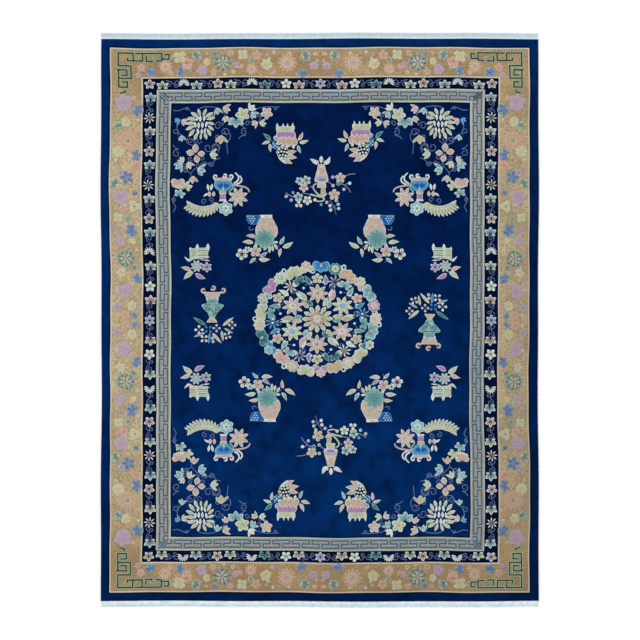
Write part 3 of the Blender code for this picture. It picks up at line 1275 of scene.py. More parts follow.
class RUG_OT_fret(bpy.types.Operator):
    """Make the fret border: hooked key lines with pale lines between, mitred at corners"""

    bl_idname = "rug.fret"
    bl_label = "Fret Border"

    def execute(self, context):
        middle, widths = band_middle("fret")
        for name, axis in (("ends", 1), ("sides", 0)):
            carving = Carving("beige", outline=0.5)
            run = middle[1 - axis]
            period = run / round(run / 0.117)
            count = round(run / period) + 1
            width = widths[axis]
            outer, inner, gap = 0.34 * width, -0.36 * width, 0.075 * period
            for sign in (-1, 1):
                lie = self.side_lie(axis, sign, middle)
                keys = key_fret(period, count, outer, -0.02 * width, inner, gap)
                for line in clip_to_mitre(keys, run - 14 * MM):
                    carving.ribbon(lie, line, 8 * MM, "slate", smooth=0, rise=0.8)
                self.add_pale_lines(carving, lie, period, count, width, run)
                for corner in (-1, 1):
                    self.add_mitre(carving, lie.at(corner * run, 0, flip=corner < 0), width)
            carving.finish(f"fret_{name}")
        return {"FINISHED"}

    def side_lie(self, axis, sign, middle):
        """Return the lie of one run of the fret, its y pointing outwards."""
        if axis:
            return Lie(((1, 0), (0, sign)), (0, sign * middle[1]))
        return Lie(((0, sign), (1, 0)), (sign * middle[0], 0))

    def add_pale_lines(self, carving, lie, period, count, width, run):
        """Add the pale line inside each key and the pale bar at each stem."""
        for number in range(-count, count):
            for shift, side in ((0.0, 1), (0.5, -1)):
                start = (number + shift) * period
                level = side * 0.17 * width
                core = [(start + 0.2 * period, level), (start + 0.8 * period, level)]
                bar = [(start, side * 0.40 * width), (start, 0.0)]
                for path in (core, bar):
                    for line in clip_to_mitre(path, run - 16 * MM):
                        carving.ribbon(lie, line, 5 * MM, "mist", smooth=0, rise=0.7)

    def add_mitre(self, carving, lie, width):
        """Add a corner's slanting lines: pale ones between dark ones."""
        colours = ("slate", "mist", "slate", "mist", "slate")
        for number, colour in enumerate(colours):
            shift, reach = (number - 2) * 11 * MM, (0.44 - 0.09 * abs(number - 2)) * width
            path = [(shift / 2 - reach, -shift / 2 - reach), (shift / 2 + reach, reach - shift / 2)]
            carving.ribbon(lie, path, 6 * MM, colour, smooth=0, rise=0.9)


# ---------------------------------------------------------------- the guard border

# The guard border's flowers from a run's middle to its corner, each its colouring and
# its kind, and the colours of the leaves between them.
END_FLOWERS = ("lilac six", "ivory lily", "star spider", "rose lily", "star spider", "rose lily")
END_LEAVES = ("pink", "teal", "cream", "aqua", "cream")
SIDE_FLOWERS = (*END_FLOWERS[:4], "star star", "rose lily", "star star", "rose lily")
SIDE_LEAVES = ("pink", "cream", "aqua", "cream", "aqua", "cream", "aqua")

# The vine between a leaf and the next flower, in mm from the middle between them.
GUARD_VINE = """
curl vine 2.4 22 -2 18 90 -420
line vine 2.4 44 20 34 22 22 16
line vine 2.4 22 16 10 16 0 4 -8 -4
curl vine 2.4 -18 -13 14 60 420
line vine 2.4 -9 -2 -18 14 -28 20 -38 16
"""


class RUG_OT_guard(bpy.types.Operator):
    """Make the dark guard border's flowers, leaves and scrolling vines"""

    bl_idname = "rug.guard"
    bl_label = "Guard Border"

    def execute(self, context):
        middle, _ = band_middle("guard")
        carvings = {}
        for name, lie in border_lies("guard"):
            carving = carvings.setdefault(name, Carving())
            ends = name in ("top", "bottom")
            flowers = END_FLOWERS if ends else SIDE_FLOWERS
            leaves = END_LEAVES if ends else SIDE_LEAVES
            run = middle[0] if ends else middle[1]
            radius, wide, turn = (34 * MM, 1.12, 0) if ends else (37 * MM, 1.0, -90)
            pitch = run / (len(flowers) - 1)
            for number, colour in enumerate(leaves, 1):
                draw(carving, lie.at(number * pitch - 144 * MM, 0), GUARD_VINE, MM)
                place = lie.at(number * pitch - 80 * MM, -5 * MM, turn, radius, wide=wide)
                place = place.at(0, -0.42, size=1.22)
                add_rings(carving, place, FLOWERS["ivy"], f"veined_{colour}")
            for number, words in enumerate(flowers):
                colouring, flower = words.split()
                at_corner = number == len(flowers) - 1
                if at_corner and not ends or number == 0 and lie.mirrored():
                    continue
                place = lie.at(number * pitch, 0, turn, radius, wide=wide)
                add_rings(carving, place, FLOWERS[flower], colouring)
        for name, carving in carvings.items():
            carving.finish(f"guard_flowers_{name}")
        return {"FINISHED"}


# ---------------------------------------------------------------- the gold border

# In mm: along the run from its middle, and outwards from its middle line.
GOLD_SIDE = """
lily soft_pink 30 8 26
ivy soft_blue 32 -54 22 40
plum soft_lilac 80 58 24
ivy soft_cream 86 -44 34 -20
iris soft_lilac 182 24 46 180
petal soft_pink 206 -30 230 -62 1.3
ivy soft_blue 256 -52 36 200
blossom soft_pink 254 36 15
lily soft_cream 296 34 28
petal soft_teal 318 -28 340 -60 1.3
rosette soft_teal 386 4 50
blossom soft_pink 450 62 15
leaf soft_lilac 470 14 528 58 1.3
petal soft_cream 480 -58 506 -26 1.3
ivy soft_blue 568 -46 42 20
blossom soft_lilac 574 52 16
eight soft_teal 636 -12 20
clover soft_cream 644 46 27
lily soft_pink 700 14 26
trefoil soft_cream 712 -54 33 180
iris soft_lilac 766 26 46 -60
petal soft_blue 786 -44 806 -74 1.3
ivy soft_teal 852 56 34 -30
lily soft_blue 896 -10 38
plum soft_lilac 924 28 22
leaf soft_pink 992 -86 936 -40 1.4
ivy soft_blue 1032 -50 38 190
frill soft_cream 1058 46 32
aster soft_aster 1126 -8 64
petal soft_pink 1180 -60 1196 -84 1.4
ivy soft_teal 1212 44 30 -60
ivy soft_cream 1250 -8 34 40
ivy soft_blue 1322 -56 40 160
iris soft_lilac 1354 16 52 -80
blossom soft_pink 1392 -44 16
"""
GOLD_END = """
ivy soft_lilac 40 -30 30
petal soft_pink 14 44 30 66 1.3
ivy soft_teal 100 40 35 80
ivy soft_blue 113 -56 32 190
mum soft_pink 206 0 50
petal soft_cream 286 50 292 74 1.3
petal soft_lilac 276 -66 300 -52 1.3
ivy soft_cream 344 -22 38 40
lily soft_pink 396 42 28
mum soft_pink 430 -44 32
ivy soft_teal 424 12 22 -80
clover soft_cream 484 46 30
petal soft_pink 486 -12 500 -40 1.2
iris soft_mauve 526 -20 22
lily soft_pink 556 58 18
blossom soft_cream 544 -62 14
rosette soft_teal 610 0 52
blossom soft_blue 660 56 16
ivy soft_cream 698 6 26 -90
lily soft_pink 668 -60 20
iris soft_lilac 738 -40 34 200
petal soft_lilac 744 20 756 44 1.3
ivy soft_teal 784 42 34 70
iris soft_pink 832 -8 38
clover soft_cream 878 36 34
ivy soft_blue 884 -54 32 90
blossom soft_pink 936 -62 18
mum soft_pink 968 -22 36
ivy soft_blue 1058 -46 34 200
petal soft_teal 1028 22 1052 34 1.4
lily soft_pink 1120 -28 24
lily soft_lilac 1140 -74 18
"""

LOOSE_PETALS = ("soft_pink", "soft_cream", "soft_lilac", "soft_pink", "soft_teal")

# The corner keys' lines, in mm from the corner: along the end, and outwards.
CORNER_KEYS = (
    ((0, 0), (93, 0), (93, -46), (58, -46), (58, -30)),
    ((0, 0), (0, -79), (77, -79), (77, -157), (0, -157)),
    ((-8, -105), (51, -105), (51, -138), (18, -138)),
    ((0, -105), (0, -213), (53, -213), (53, -180), (20, -180)),
    ((39, -230), (39, -243), (8, -250)),
    ((107, 0), (272, 0), (272, -46), (235, -46)),
    ((93, -46), (152, -46), (152, 0)),
    ((175, -16), (175, -49), (212, -49), (212, -26)),
    ((275, -36), (316, -36), (316, -7), (290, -7)),
)


class RUG_OT_gold(bpy.types.Operator):
    """Make the gold border's soft flowers and faint vines"""

    bl_idname = "rug.gold"
    bl_label = "Gold Border"

    def execute(self, context):
        middle, _ = band_middle("gold")
        carvings = {}
        for name, lie in border_lies("gold"):
            # The gold's figures get a tan painted shade in their grooves.
            carving = carvings.setdefault(name, Carving("tan", outline=0.4, worn=0.48))
            ends = name in ("top", "bottom")
            self.add_tracery(carving, lie, 0.90 * middle[0] if ends else 0.93 * middle[1])
            draw(carving, lie, GOLD_END if ends else GOLD_SIDE, MM, grow=1.25, halo=True)
        for name, carving in carvings.items():
            carving.finish(f"gold_flowers_{name}")
        return {"FINISHED"}

    def add_tracery(self, carving, lie, run):
        """Add the faint wandering vine and its scrolls, which hardly rise."""
        places = np.arange(0, run, 32 * MM)
        sway = 46 * MM * np.cos(places / (248 * MM) * 2 * math.pi)
        vine = np.column_stack((places, sway))
        carving.ribbon(lie, vine, 3.4 * MM, "bronze", rise=0.2, smooth=2)
        for number, x in enumerate(np.arange(62 * MM, run, 62 * MM)):
            side = 1 if number % 4 in (0, 3) else -1
            scroll = curl(x, side * 34 * MM, 22 * MM, -side * 90, side * (380 - 760 * (number % 2)))
            carving.ribbon(lie, scroll, 3 * MM, "bronze", 0.6, 0.2, smooth=0)
        for number, x in enumerate(np.arange(20 * MM, 0.86 * run, 27 * MM)):
            petal = lie.at(x, 74 * MM * math.sin(2.3 * number), 97 * number, size=24 * MM)
            colouring = COLOURINGS[LOOSE_PETALS[number % len(LOOSE_PETALS)]]
            carving.stamp(petal, "wide", colouring[:3], lift=-0.6)


class RUG_OT_keys(bpy.types.Operator):
    """Make the four green key figures in the gold border's corners"""

    bl_idname = "rug.keys"
    bl_label = "Corner Keys"

    def execute(self, context):
        edges = {name: (across, along) for name, across, along in band_edges()}
        across, along = edges["gold"][0] - 42 * MM, edges["gold"][1] - 23 * MM
        # The keys get a tan painted shade in their grooves.
        carving = Carving("tan", outline=0.4)
        for side in (-1, 1):
            for end in (-1, 1):
                lie = Lie(((-side, 0), (0, end)), (side * across, end * along))
                for line in CORNER_KEYS:
                    path = np.array(line) * MM
                    carving.ribbon(lie, path, 16 * MM, "sage", smooth=0, rise=0.45)
                for line in CORNER_KEYS:
                    path = np.array(line) * MM
                    carving.ribbon(lie, path, 8.5 * MM, "moss", smooth=0, rise=1.0)
        carving.finish("corner_keys")
        return {"FINISHED"}


# ---------------------------------------------------------------- the field's figures

# In squares of the net from the field's corner: along the end, and towards the middle.
CORNER_SPRAY = """
line vine 0.45 2 7 7 7.4 11.4 5.6 16 4.6 19 7.4
curl vine 0.42 15.6 5.6 1.8 0 -380
line vine 0.45 26 7 30 4.4 36 3.6 43 4.4 49 7 53 11.6 57 15.6 63 17.6 69 17.4
line vine 0.45 6.6 18.4 6.4 24 8 29.4 11.4 31.6
curl vine 0.42 5 28.6 3.4 60 -420
line vine 0.45 69 17.4 75 15 80 9 88 5.4 96 4 108 4
line vine 0.45 17 34 16.4 38.8 21 41.6 27 41 31.4 38
curl vine 0.42 19.4 37.6 3 0 -420
curl vine 0.42 26 37.6 3 90 400
line vine 0.45 56 31 52 31.4 51 33.6
curl vine 0.42 47.4 23.2 4.4 0 -440
line vine 0.45 51.6 22.4 54 18.4 57 16.4
curl vine 0.42 55.4 29.8 4.4 180 430
line vine 0.45 59.6 30.8 59.6 36 56.4 40.4 56.8 46 57 51.4
curl vine 0.42 47 34 2.6 60 400
curl vine 0.42 73.6 29.4 3.8 -60 -430
line vine 0.45 75.4 32.8 71 33.6 68 36.4
line vine 0.45 74 25.6 70 22.4 68 19.6
curl vine 0.42 37.6 44.8 5 -30 430
curl vine 0.42 45.6 45.6 3.8 180 420
line vine 0.45 41.8 42.4 46 41.2 49.4 44.6 47.6 50
curl vine 0.42 6 49.8 4.2 -60 -420
line vine 0.45 8 46 4.4 44 2.4 41.4
line vine 0.45 8.2 53.4 10 57 13 60 17.4 60.6 22 57
line vine 0.45 49.6 55.6 45 57 41.4 61.4 36.6 60.4 32 63.6 26 64.4 21 69.4 20.6 73
curl vine 0.42 40.4 61 3 0 420
curl vine 0.42 33.8 60.4 3.2 200 -420
curl vine 0.42 27.4 62 2.6 0 400
curl vine 0.42 15 66.4 2.4 0 420
line vine 0.45 13 62 17 67 20.6 70
line vine 0.45 10 88 5 92 3 98 5.6 103 3 108.6
curl vine 0.42 3.4 96 2.4 90 -400
curl vine 0.42 76.4 21 2.8 0 -420
curl vine 0.42 88 12 2.4 180 -400
line vine 0.45 88 19.6 89 15.4 92 12
curl vine 0.42 104 5.6 1.8 -90 400
curl vine 0.42 31.6 54.6 2.6 160 -400
curl vine 0.42 19.6 55 2.4 60 400
petal cream 28.2 14.6 19.6 8.6 0.7
petal cream 29.6 13.2 26.6 5.4 0.7
petal cream 31.6 13.2 35.2 5.4 0.7
petal cream 33.4 14.4 42.2 9.4 0.7
petal cream 26.4 16.8 16.2 14.2 0.7
petal cream 35 16.2 44.2 14.8 0.7
petal cream 25 19.6 15 20 0.7
petal cream 36 19.2 43.8 21.6 0.7
petal cream 24.2 22.4 14.8 26.4 0.7
petal cream 36.8 22.2 43.2 27.8 0.7
petal cream 24.4 25.4 18.2 33.2 0.7
petal cream 36.4 25.2 40.4 33.4 0.7
petal cream 27.2 28.4 23.6 37 0.7
petal cream 33.6 28.2 36.4 36.8 0.7
petal cream 30.4 30 30.2 36.6 0.7
petal ivory 25.6 18.2 27.2 12.2 0.76
petal ivory 29.4 19.2 29.2 12 0.76
petal ivory 33 18.6 33.4 12 0.76
petal ivory 25.2 24.8 23.6 18 0.76
petal ivory 28.2 25.6 27.6 18.6 0.76
petal ivory 31.6 25.6 31.6 18.6 0.76
petal ivory 35 24.6 36 18 0.76
petal ivory 28.4 31.2 26.4 25 0.76
petal ivory 31.2 31.6 31 25.4 0.76
petal ivory 33.6 30.8 34.8 24.6 0.76
bud sky 9.6 16.6 3.6 18.4 1.1
bud pink 11 16 16.4 21.2 1.1
bud aqua 46.4 4.8 46.4 12.4 1.1
bud pink 51.4 4.6 59.4 8.4 1.1
bud pink 56.4 13.4 53.4 20.4 1.1
bud straw 51 32.6 49.8 42 1.3
bud aqua 11.4 31.6 11.2 38.4 1.1
bud cream 39 51.2 47.6 52.6 1.2
bud cream 12.8 59.4 9.6 53
bud aqua 12 59.8 4.8 65.6 1.2
bud cream 17.6 58 20.4 66
bud aqua 26.8 65.6 35.6 68.6 1.3
bud peach 23.2 72.4 22.4 80.6 1.1
bud pink 10.6 79.6 5.4 84.6
bud ivory 77.4 7.6 83.6 2.4 1.2
bud aqua 80.4 9.4 84.8 15.6 1.2
bud pink 87 19.6 80.4 22.4 1.1
bud cream 88 19.8 95.6 21
petal pink 25.4 49.8 24.6 40.6 1.35
petal pink 26.4 50.6 34.6 50.4 1.35
petal pink 25.2 51.4 27.2 59.8 1.35
petal pink 24.4 50.4 15.6 48.2 1.35
narrow wine 25.6 50.4 25.6 45 1
narrow wine 25.6 50.4 30.6 50.6 1
narrow wine 25.6 50.4 26.4 55.6 1
narrow wine 25.6 50.4 20.8 49.4 1
blossom cream 71.4 12 8 10
ivy aqua 65 17.5 8.4 0 1.15
blossom pink 95.4 10.2 6.8
shell pink 8 76.6 8.6
ivy cream 15.8 84.4 7.4 -160
ivy aqua 9.4 91.6 6.8 200
petal teal 44 10.8 41.4 14.8
"""

# The field's figures, in squares of the net from each one's middle, foot upwards.
FRUIT_BOWL = """
line vine 0.45 -17 -6 -14 -5 -11 -3
leaf teal -17.2 -5.9 -23.4 -14.4
leaf cream -17.6 -4.8 -26.4 -4
leaf pink -17.5 -3.2 -18.6 5.4
leaf pink 10.2 -6 16.2 -13.8
leaf cream 11.2 -4 21 -4.8
leaf aqua 10.2 -1.6 11.6 7.2
wide grey -8 -6.8 -14.6 -9.8 0.9
blade ivory -10.4 -15 -11.4 -24 1.7
blade ivory -5.4 -16 -5.2 -23.6 1.7
blade ivory -1.2 -16 -0.8 -23.6 1.7
blade ivory 3.8 -15 4.4 -24 1.7
band cream -3 -13.6 -3 -20.4 1.2
+band mauve -2.2 -14.8 -2.2 -9 1.5
petal ivory -5 -3 -6.4 2.2
petal ivory 0 -3 -1.4 2
petal ivory 5 -3 6 2.4
++wide peach -5.6 -10.6 -9.6 -1.6 0.74
++wide peach -2.4 -10.8 -4.2 0 0.72
++wide peach 1.4 -11 1.4 0.6 0.72
++wide peach 5 -10.8 7.8 -0.4 0.74
blossom blue -12.6 -1.4 4.6
+dots ivory 0.8 -12.6 -1.4 -14.6 -3 -10.8 -3 -14.4 0.6 -10.8 0.6
+leaf peach -1 5.4 8.8 6.4 1.2
+leaf pink -1.6 8.2 8.4 13.4 1.2
+leaf pink -4 11 3 18.8 1.2
leaf ivory -10.6 8 -2 18.6 0.5
++disc seeded -5.1 5.6 6.6
+++dots ivory 1.25 -8.4 2.6 -5.4 1.4 -2.4 2.2 -9.4 5.6 -6.4 4.8 -3.4 5.2
+++dots ivory 1.25 -0.8 5.8 -8 8.6 -5 8.2 -2.2 9 -5.6 11
"""
BRANCH_VASE = """
line cream 1.5 -9.8 14.3 -4.1 15.5 1.5 16.8 4 16.1 7.1 13
line cream 1.4 1.5 16.8 4.4 18.2 3.2 20.4 -1 21.1 -4.1 20.5
line cream 1.5 0.9 16.1 -3.5 12.4 -6.6 8 -6 4.9 -3.5 3.4
line lilac 0.5 -34 13 -30.4 15.5 -26 17.4
line lilac 0.5 -17.3 13 -9.8 14.3
line lilac 0.5 -9.8 6.1 -6 8.6
line lilac 0.5 8.4 1.8 12.8 4.9
line lilac 0.5 24.6 -3.3 28.4 -5.1 35.3 -5.8
line lilac 0.5 20.9 3.6 24.6 5.5 29 9.9 30.5 13
line lilac 0.5 24.6 5.5 28.4 3
line vine 0.45 9.6 19.9 13.4 24.9 15.3 29.9 16.5 34.9
line vine 0.45 10.9 29.4 14.4 26.6 18.4 24.3
line vine 0.45 13.4 24.9 16 28.4 19 28.6
plum aqua -20.6 1.1 4.2
plum aqua -13.6 0.4 4.9 20
plum pink -16 7.6 4.9
plum aqua -21.3 17.1 4.8 30
plum ivory -12.2 20.3 4.9
trefoil ivory -20.8 24.6 4 180
plum peach 20.3 -2 5.5 180
blossom teal 18.4 3.6 2.8
plum peach 14.3 14.6 5.9 180
dots sky 1.5 -26.6 13 1.5 24.3
dots lilac 1.7 -33.3 16.8 -28.3 20.5 12.8 -3 13 5.5 23.8 9.5 7.1 22.1
dots ivory 1.8 29.6 3.6 -4.8 19.6 10.3 25.5 10.9 29.9
dots aqua 1.7 16.5 20.5 18.4 24.3 19 28.6
leaf ivory -2.4 -15.4 -8.6 -22.6 1.1
leaf ivory 5.4 -15.4 11.8 -22.4 1.1
petal ivory 1.4 -16.4 1.5 -24.4 0.95
petal cream -1.4 -15.6 -2.8 -20 0.9
petal cream 4.2 -15.6 5.6 -20 0.9
band peach 3.2 7 3.2 16 0.24
+band cream 1.6 1.8 1.6 7.6 0.68
+pear blush 1.5 -16 1.5 2 0.74
++petal peach 1.5 -14.6 1.5 -4.4 1.3
++narrow cream -1.4 -10 -3 -4 1.2
++narrow cream 4.4 -10 6 -4 1.2
++cup lilac 1.5 1.7 1.5 -2.4 0.95
+++dots teal 0.8 -3.6 -2.9 -1 -3.1 1.6 -3.2 4.2 -3.1 6.6 -2.9
"""
FLASK = """
line ivory 1.6 2.3 -10.6 6.4 -14 6.6 -18 3.3 -21.6
line ivory 1.6 4.3 -9.4 9 -12.2 10 -15.4 7.8 -18.6
line pink 1.6 1.3 -9.2 8.3 -8.4 14 -7.2 17.2 -4.8 17.8 -2.4
line aqua 1.4 0.6 -10 1.2 -6.4 -2.4 -2
curl vine 0.42 -27 6.4 3 90 400
curl vine 0.42 -20.2 5.2 2.8 90 -420
feather cream 8.4 -12.6 9.4 -19 14 -28 16.2 -37 14.4 -44.8 9.6
petal ivory -22.4 -3.4 -23.8 -10.8 0.7
petal ivory -20.4 -3.4 -19 -10.8 0.7
leaf ivory -22.6 -1 -28.4 1
wide pink -22 -3.4 -21.6 2.4 0.8
petal peach -17.4 -3.4 -17.6 2.4 1.1
curl ivory 1.6 -15.9 -17.8 2.6 60 330
curl ivory 1.6 -6.9 -18.8 2.4 150 -330
curl ivory 1.6 -0.8 -17.8 2.6 120 -330
band blush -8.4 -12.8 -8.4 -16.6 2.1
+belly sky -8.2 -2.6 -8.2 -13.8 0.82
++petal blue -8.2 -5 -14.6 -11 0.9
++petal blue -8.2 -5 -1.8 -11 0.9
++petal blue -8.2 -5 -11 -12.6 0.8
++petal blue -8.2 -5 -5.4 -12.6 0.8
++petal aqua -8.2 -3.8 -8.2 -9.4 1.2
band mauve -8.4 -0.6 -8.4 5.6 0.42
+band straw -8.4 -5 -8.4 -0.4 0.68
cloud aqua -5.7 14.1 7.6
+six ivory -5.7 14.1 4.6
+band ivory -8.4 5 -8.4 7 1.6
lotus blush 6.8 2.6 10.4 202
"""
FLOWER_POT = """
line vine 0.45 9 7 12 9 14 10.6
line vine 0.45 -9 17 -10 22 -9 26
leaf blush -9.3 0.4 -18.9 -2.8
leaf cream -11.7 6.4 -22.6 3.2
leaf aqua 14 8 20.4 0.6
leaf cream 17 10.9 28.6 7.2
leaf pink 15.7 11.6 12.6 20.2
+dish blue -12 -12 -12 -21.6 0.7
++dots aqua 0.9 -16.8 -20.2 -14.2 -20.4 -11.4 -20.2 -15.4 -18 -12.8 -18.2
++dots aqua 0.9 -10.2 -18 -14 -15.8 -11.4 -15.8 -12.6 -13.8
curl vine 0.6 -14.4 -8.8 2.8 20 230
jar blush 1.4 -21.8 1.4 0.6
+band ivory 1.8 -21.8 1.8 -18.8 1.7
++band sage 1.2 -21 1.2 -19.6 1.7
++quatre sage 1 -12 2.4
++dots teal 0.8 -6.6 -11.4 9.8 -11.6
++dots pink 0.9 -5.4 -8.8 9.2 -8.2
petal cream 4.6 8.6 4.2 16.6 0.7
petal cream 6.6 8 7.9 15 0.7
petal cream 8.4 7 12.4 13.2 0.7
petal ivory 7.6 5.6 13 5.6 0.8
petal aqua 2 7 -1.4 14 0.9
petal aqua -5 5 -10.8 8.4 1
+pad jade -0.8 1.8 10.2 20 1.08
plum pink -9.8 14.4 6.2 180
blossom aqua -17.8 13 3.8
plum star -23.3 17.4 6.2 150
leaf lilac -5.8 20 3.2 16.6
leaf aqua -9.3 21.4 -16.6 25.8
leaf cream -6.6 22.2 4.6 25
"""
PLANTER = """
blade ivory -7.6 -3 -12.8 -8.8 1.3
blade ivory -6 -3.6 -9.8 -7 1.2
blade ivory 4.6 -8.4 13 -7.2 1.2
blade ivory 6.4 -4.6 13 -3.8 1.2
petal ivory -6.6 -13 -6.6 -18.2 0.9
petal ivory 0.3 -12 0.3 -21.2 0.7
petal ivory 10.8 -12 10.8 -21.2 0.7
box sage 5.6 -6.2 5.6 -17 0.5
+box cream -3.5 -5.8 -3.5 -16.8 0.36
+++line ivory 0.7 0.8 -15 10.4 -15
+++line moss 0.4 0.8 -13.9 10.4 -13.9
+++line ivory 0.7 0.8 -12.8 10.4 -12.8
+++line ivory 0.7 0.8 -10.6 10.4 -10.6
+++line moss 0.4 0.8 -9.5 10.4 -9.5
+++line ivory 0.7 0.8 -8.4 10.4 -8.4
++++line sage 0.8 -6.6 -15 -0.4 -15
++++line peach 0.8 -6.6 -12.4 -0.4 -12.4
++++line sage 0.8 -6.6 -9.8 -0.4 -9.8
line blush 1.6 -7.2 -4.6 -3 -6.6 1.4 -6.8 6.4 -4.4
leaf pink -6.3 5.7 -15.8 0.1
leaf cream -4.1 6.8 -15.4 11.9 1.1
leaf mauve -2.4 8.4 6.4 16 1.1
six lilac 9.4 2.6 5.6
eight aqua -0.8 1.2 6.6
++six blush -0.8 1.2 2.8
"""
URN = """
blade teal -7.3 13.7 -20.1 5.3 1.3
blade grey -7.9 20.9 -19.6 25.1 1.2
blade sky -3.4 21 -4.6 32 1.3
blade cream -1.2 21 8.2 31.4 1.3
blade cream 9.3 14.2 20.4 5.3 1.3
blade grey 11 16.4 19.9 21.4 1.3
blade pink 8.2 18.7 9.9 29.2 1.5
quatre blue -4.9 17.6 4.4 45
quatre lilac 3.4 16.4 4.2
quatre ivory -14.2 18.1 4.8
quatre ivory -9.2 27 4.4 45
quatre cream 14.3 23.7 4.2 30
quatre rose 19.1 13.3 4.2
dots lilac 1.6 -0.3 29.8 -0.7 26.4
curl shell 1.9 -10.3 -21.4 2.9 30 320
curl shell 1.9 -0.6 -24 2.6 150 -330
curl shell 1.9 9.3 -21.6 2.9 150 -320
petal ivory -5.6 -15 -7 -10.8
petal ivory -1.6 -15 -1.8 -10.4
petal ivory 2.8 -15 4.4 -10.8
+cup blush -1.4 -13 -1.4 -19.6 0.82
band jade -1 -13.4 -1 -7 0.78
++funnel jade -0.9 5 -0.9 -8 1.04
+++++curl deep_teal 0.7 -6 -3.6 2.6 0 320
+++++curl ivory 0.6 -1 -4.6 2.4 90 -320
+++++curl deep_teal 0.7 4.4 -3.6 2.6 180 -320
+++++curl ivory 0.6 -2.6 0.6 2 0 300
+++++curl deep_teal 0.6 1.6 0.8 2 180 -300
+++++line deep_teal 0.6 -9 -7 -1 -6.6 7 -7
band cream -1.2 3.6 -1.2 8.4 0.5
+cup blush -1.2 7.4 -1.2 10.8 1.0
"""

# figure: piece name, drawing, and for each one its middle on the net, from the rug's
# middle, across and along; its foot points to the nearer end of the rug
FIELD_FIGURES = (
    ("fruit_bowls", FRUIT_BOWL, ((-31.5, 173), (38.5, 175), (-30.5, -177), (34.5, -177))),
    ("branch_vases", BRANCH_VASE, ((0.5, 140), (12.5, -130))),
    ("round_flasks", FLASK, ((-87.5, 125), (91.5, 125), (-87.5, -121), (92.5, -121))),
    ("flower_pots", FLOWER_POT, ((-54.5, 83), (56.5, 83), (-51.5, -80), (54.5, -80))),
    ("square_planters", PLANTER, ((-122.5, 55), (124.5, 55), (-122.5, -60), (124.5, -60))),
    ("flower_urns", URN, ((-106.5, 8), (108.5, -5))),
)

# The medallion's flowers, in squares of the net: a large one in its middle, and a spray
# that stands round it in turns, its y outwards, in the colours of the table below.
MEDALLION_HEART = """
mum cream 0 0 14.4
+eight peach 0 0 5
"""
MEDALLION_SPRAY = """
line vine 0.45 3 34 8 36 11 33
curl vine 0.42 -11.6 32 2.4 60 420
leaf {1} 4.6 12.6 10.4 20.6 1.2
leaf {2} -4.6 12.6 -10.4 20.6 1.2
leaf {2} 10.4 17.4 15.4 29 1.1
leaf {1} 6.6 33.4 9.2 44 1.1
leaf {3} -6.6 33.4 -9.2 44 1.1
blade ivory -9.6 21.4 -13.6 30.4 1.6
lotus {0} 0 25.4 10
+six {3} 0 25.4 3.8
plum {2} 0 40.4 5.4
ivy {1} 15.4 36.6 7 -30
star {3} -15.6 36.6 6.6
dots ivory 1.3 12.4 30.8 -5.4 36.6 5.4 36.6 20.4 33.6
"""
SPRAY_COLOURS = (
    ("peach", "teal", "cream", "lilac"),
    ("cream", "aqua", "pink", "sky"),
    ("pink", "jade", "straw", "ivory"),
)

# The medallion's ring is made of these by turns; y points outwards.
RING_FIGURES = (
    """
    frill {0} 0 0.4 6.4 0 1.05
    +cloud {1} 0 0.8 4
    ++drop {0} 0 -1 0 2.8
    """,
    """
    shell {1} 0 -4.6 10.4 0 1.05
    """,
    """
    cloud {0} -3.2 -1 4.2
    cloud {0} 3.2 -1 4.2 30
    +cloud {1} 0 2.6 4.8
    ++drop {0} 0 0.6 0 5
    """,
    """
    shell {0} 0 4.4 10 180 1.05
    """,
)
RING_COLOURS = (
    ("cream", "pink"),
    ("sky", "aqua"),
    ("teal", "cream"),
    ("cream", "peach"),
    ("pink", "cream"),
    ("aqua", "straw"),
    ("mauve", "pink"),
    ("cream", "sage"),
    ("peach", "cream"),
)


class RUG_OT_sprays(bpy.types.Operator):
    """Make the four corner sprays of the field: chrysanthemum, buds and scrolls"""

    bl_idname = "rug.sprays"
    bl_label = "Corner Sprays"

    def execute(self, context):
        _, across, along = band_edges()[-1]
        for name, end in (("top", 1), ("bottom", -1)):
            carving = Carving()
            for side in (-1, 1):
                lie = Lie(((-side, 0), (0, -end)), (side * across, end * along))
                draw(carving, lie, CORNER_SPRAY, NET)
            carving.finish(f"corner_sprays_{name}")
        return {"FINISHED"}


class RUG_OT_figures(bpy.types.Operator):
    """Make the field's bowls, vases, flasks, pots, planters and urns of flowers"""

    bl_idname = "rug.figures"
    bl_label = "Field Figures"

    def execute(self, context):
        for name, rows, places in FIELD_FIGURES:
            carving = Carving()
            for x, y in places:
                side = 1 if x < 5 else -1
                end = 1 if y > 0 else -1
                lie = Lie(((side, 0), (0, -end)), (x * NET - FIELD_SHIFT, y * NET))
                draw(carving, lie, rows, NET)
            carving.finish(name)
        return {"FINISHED"}


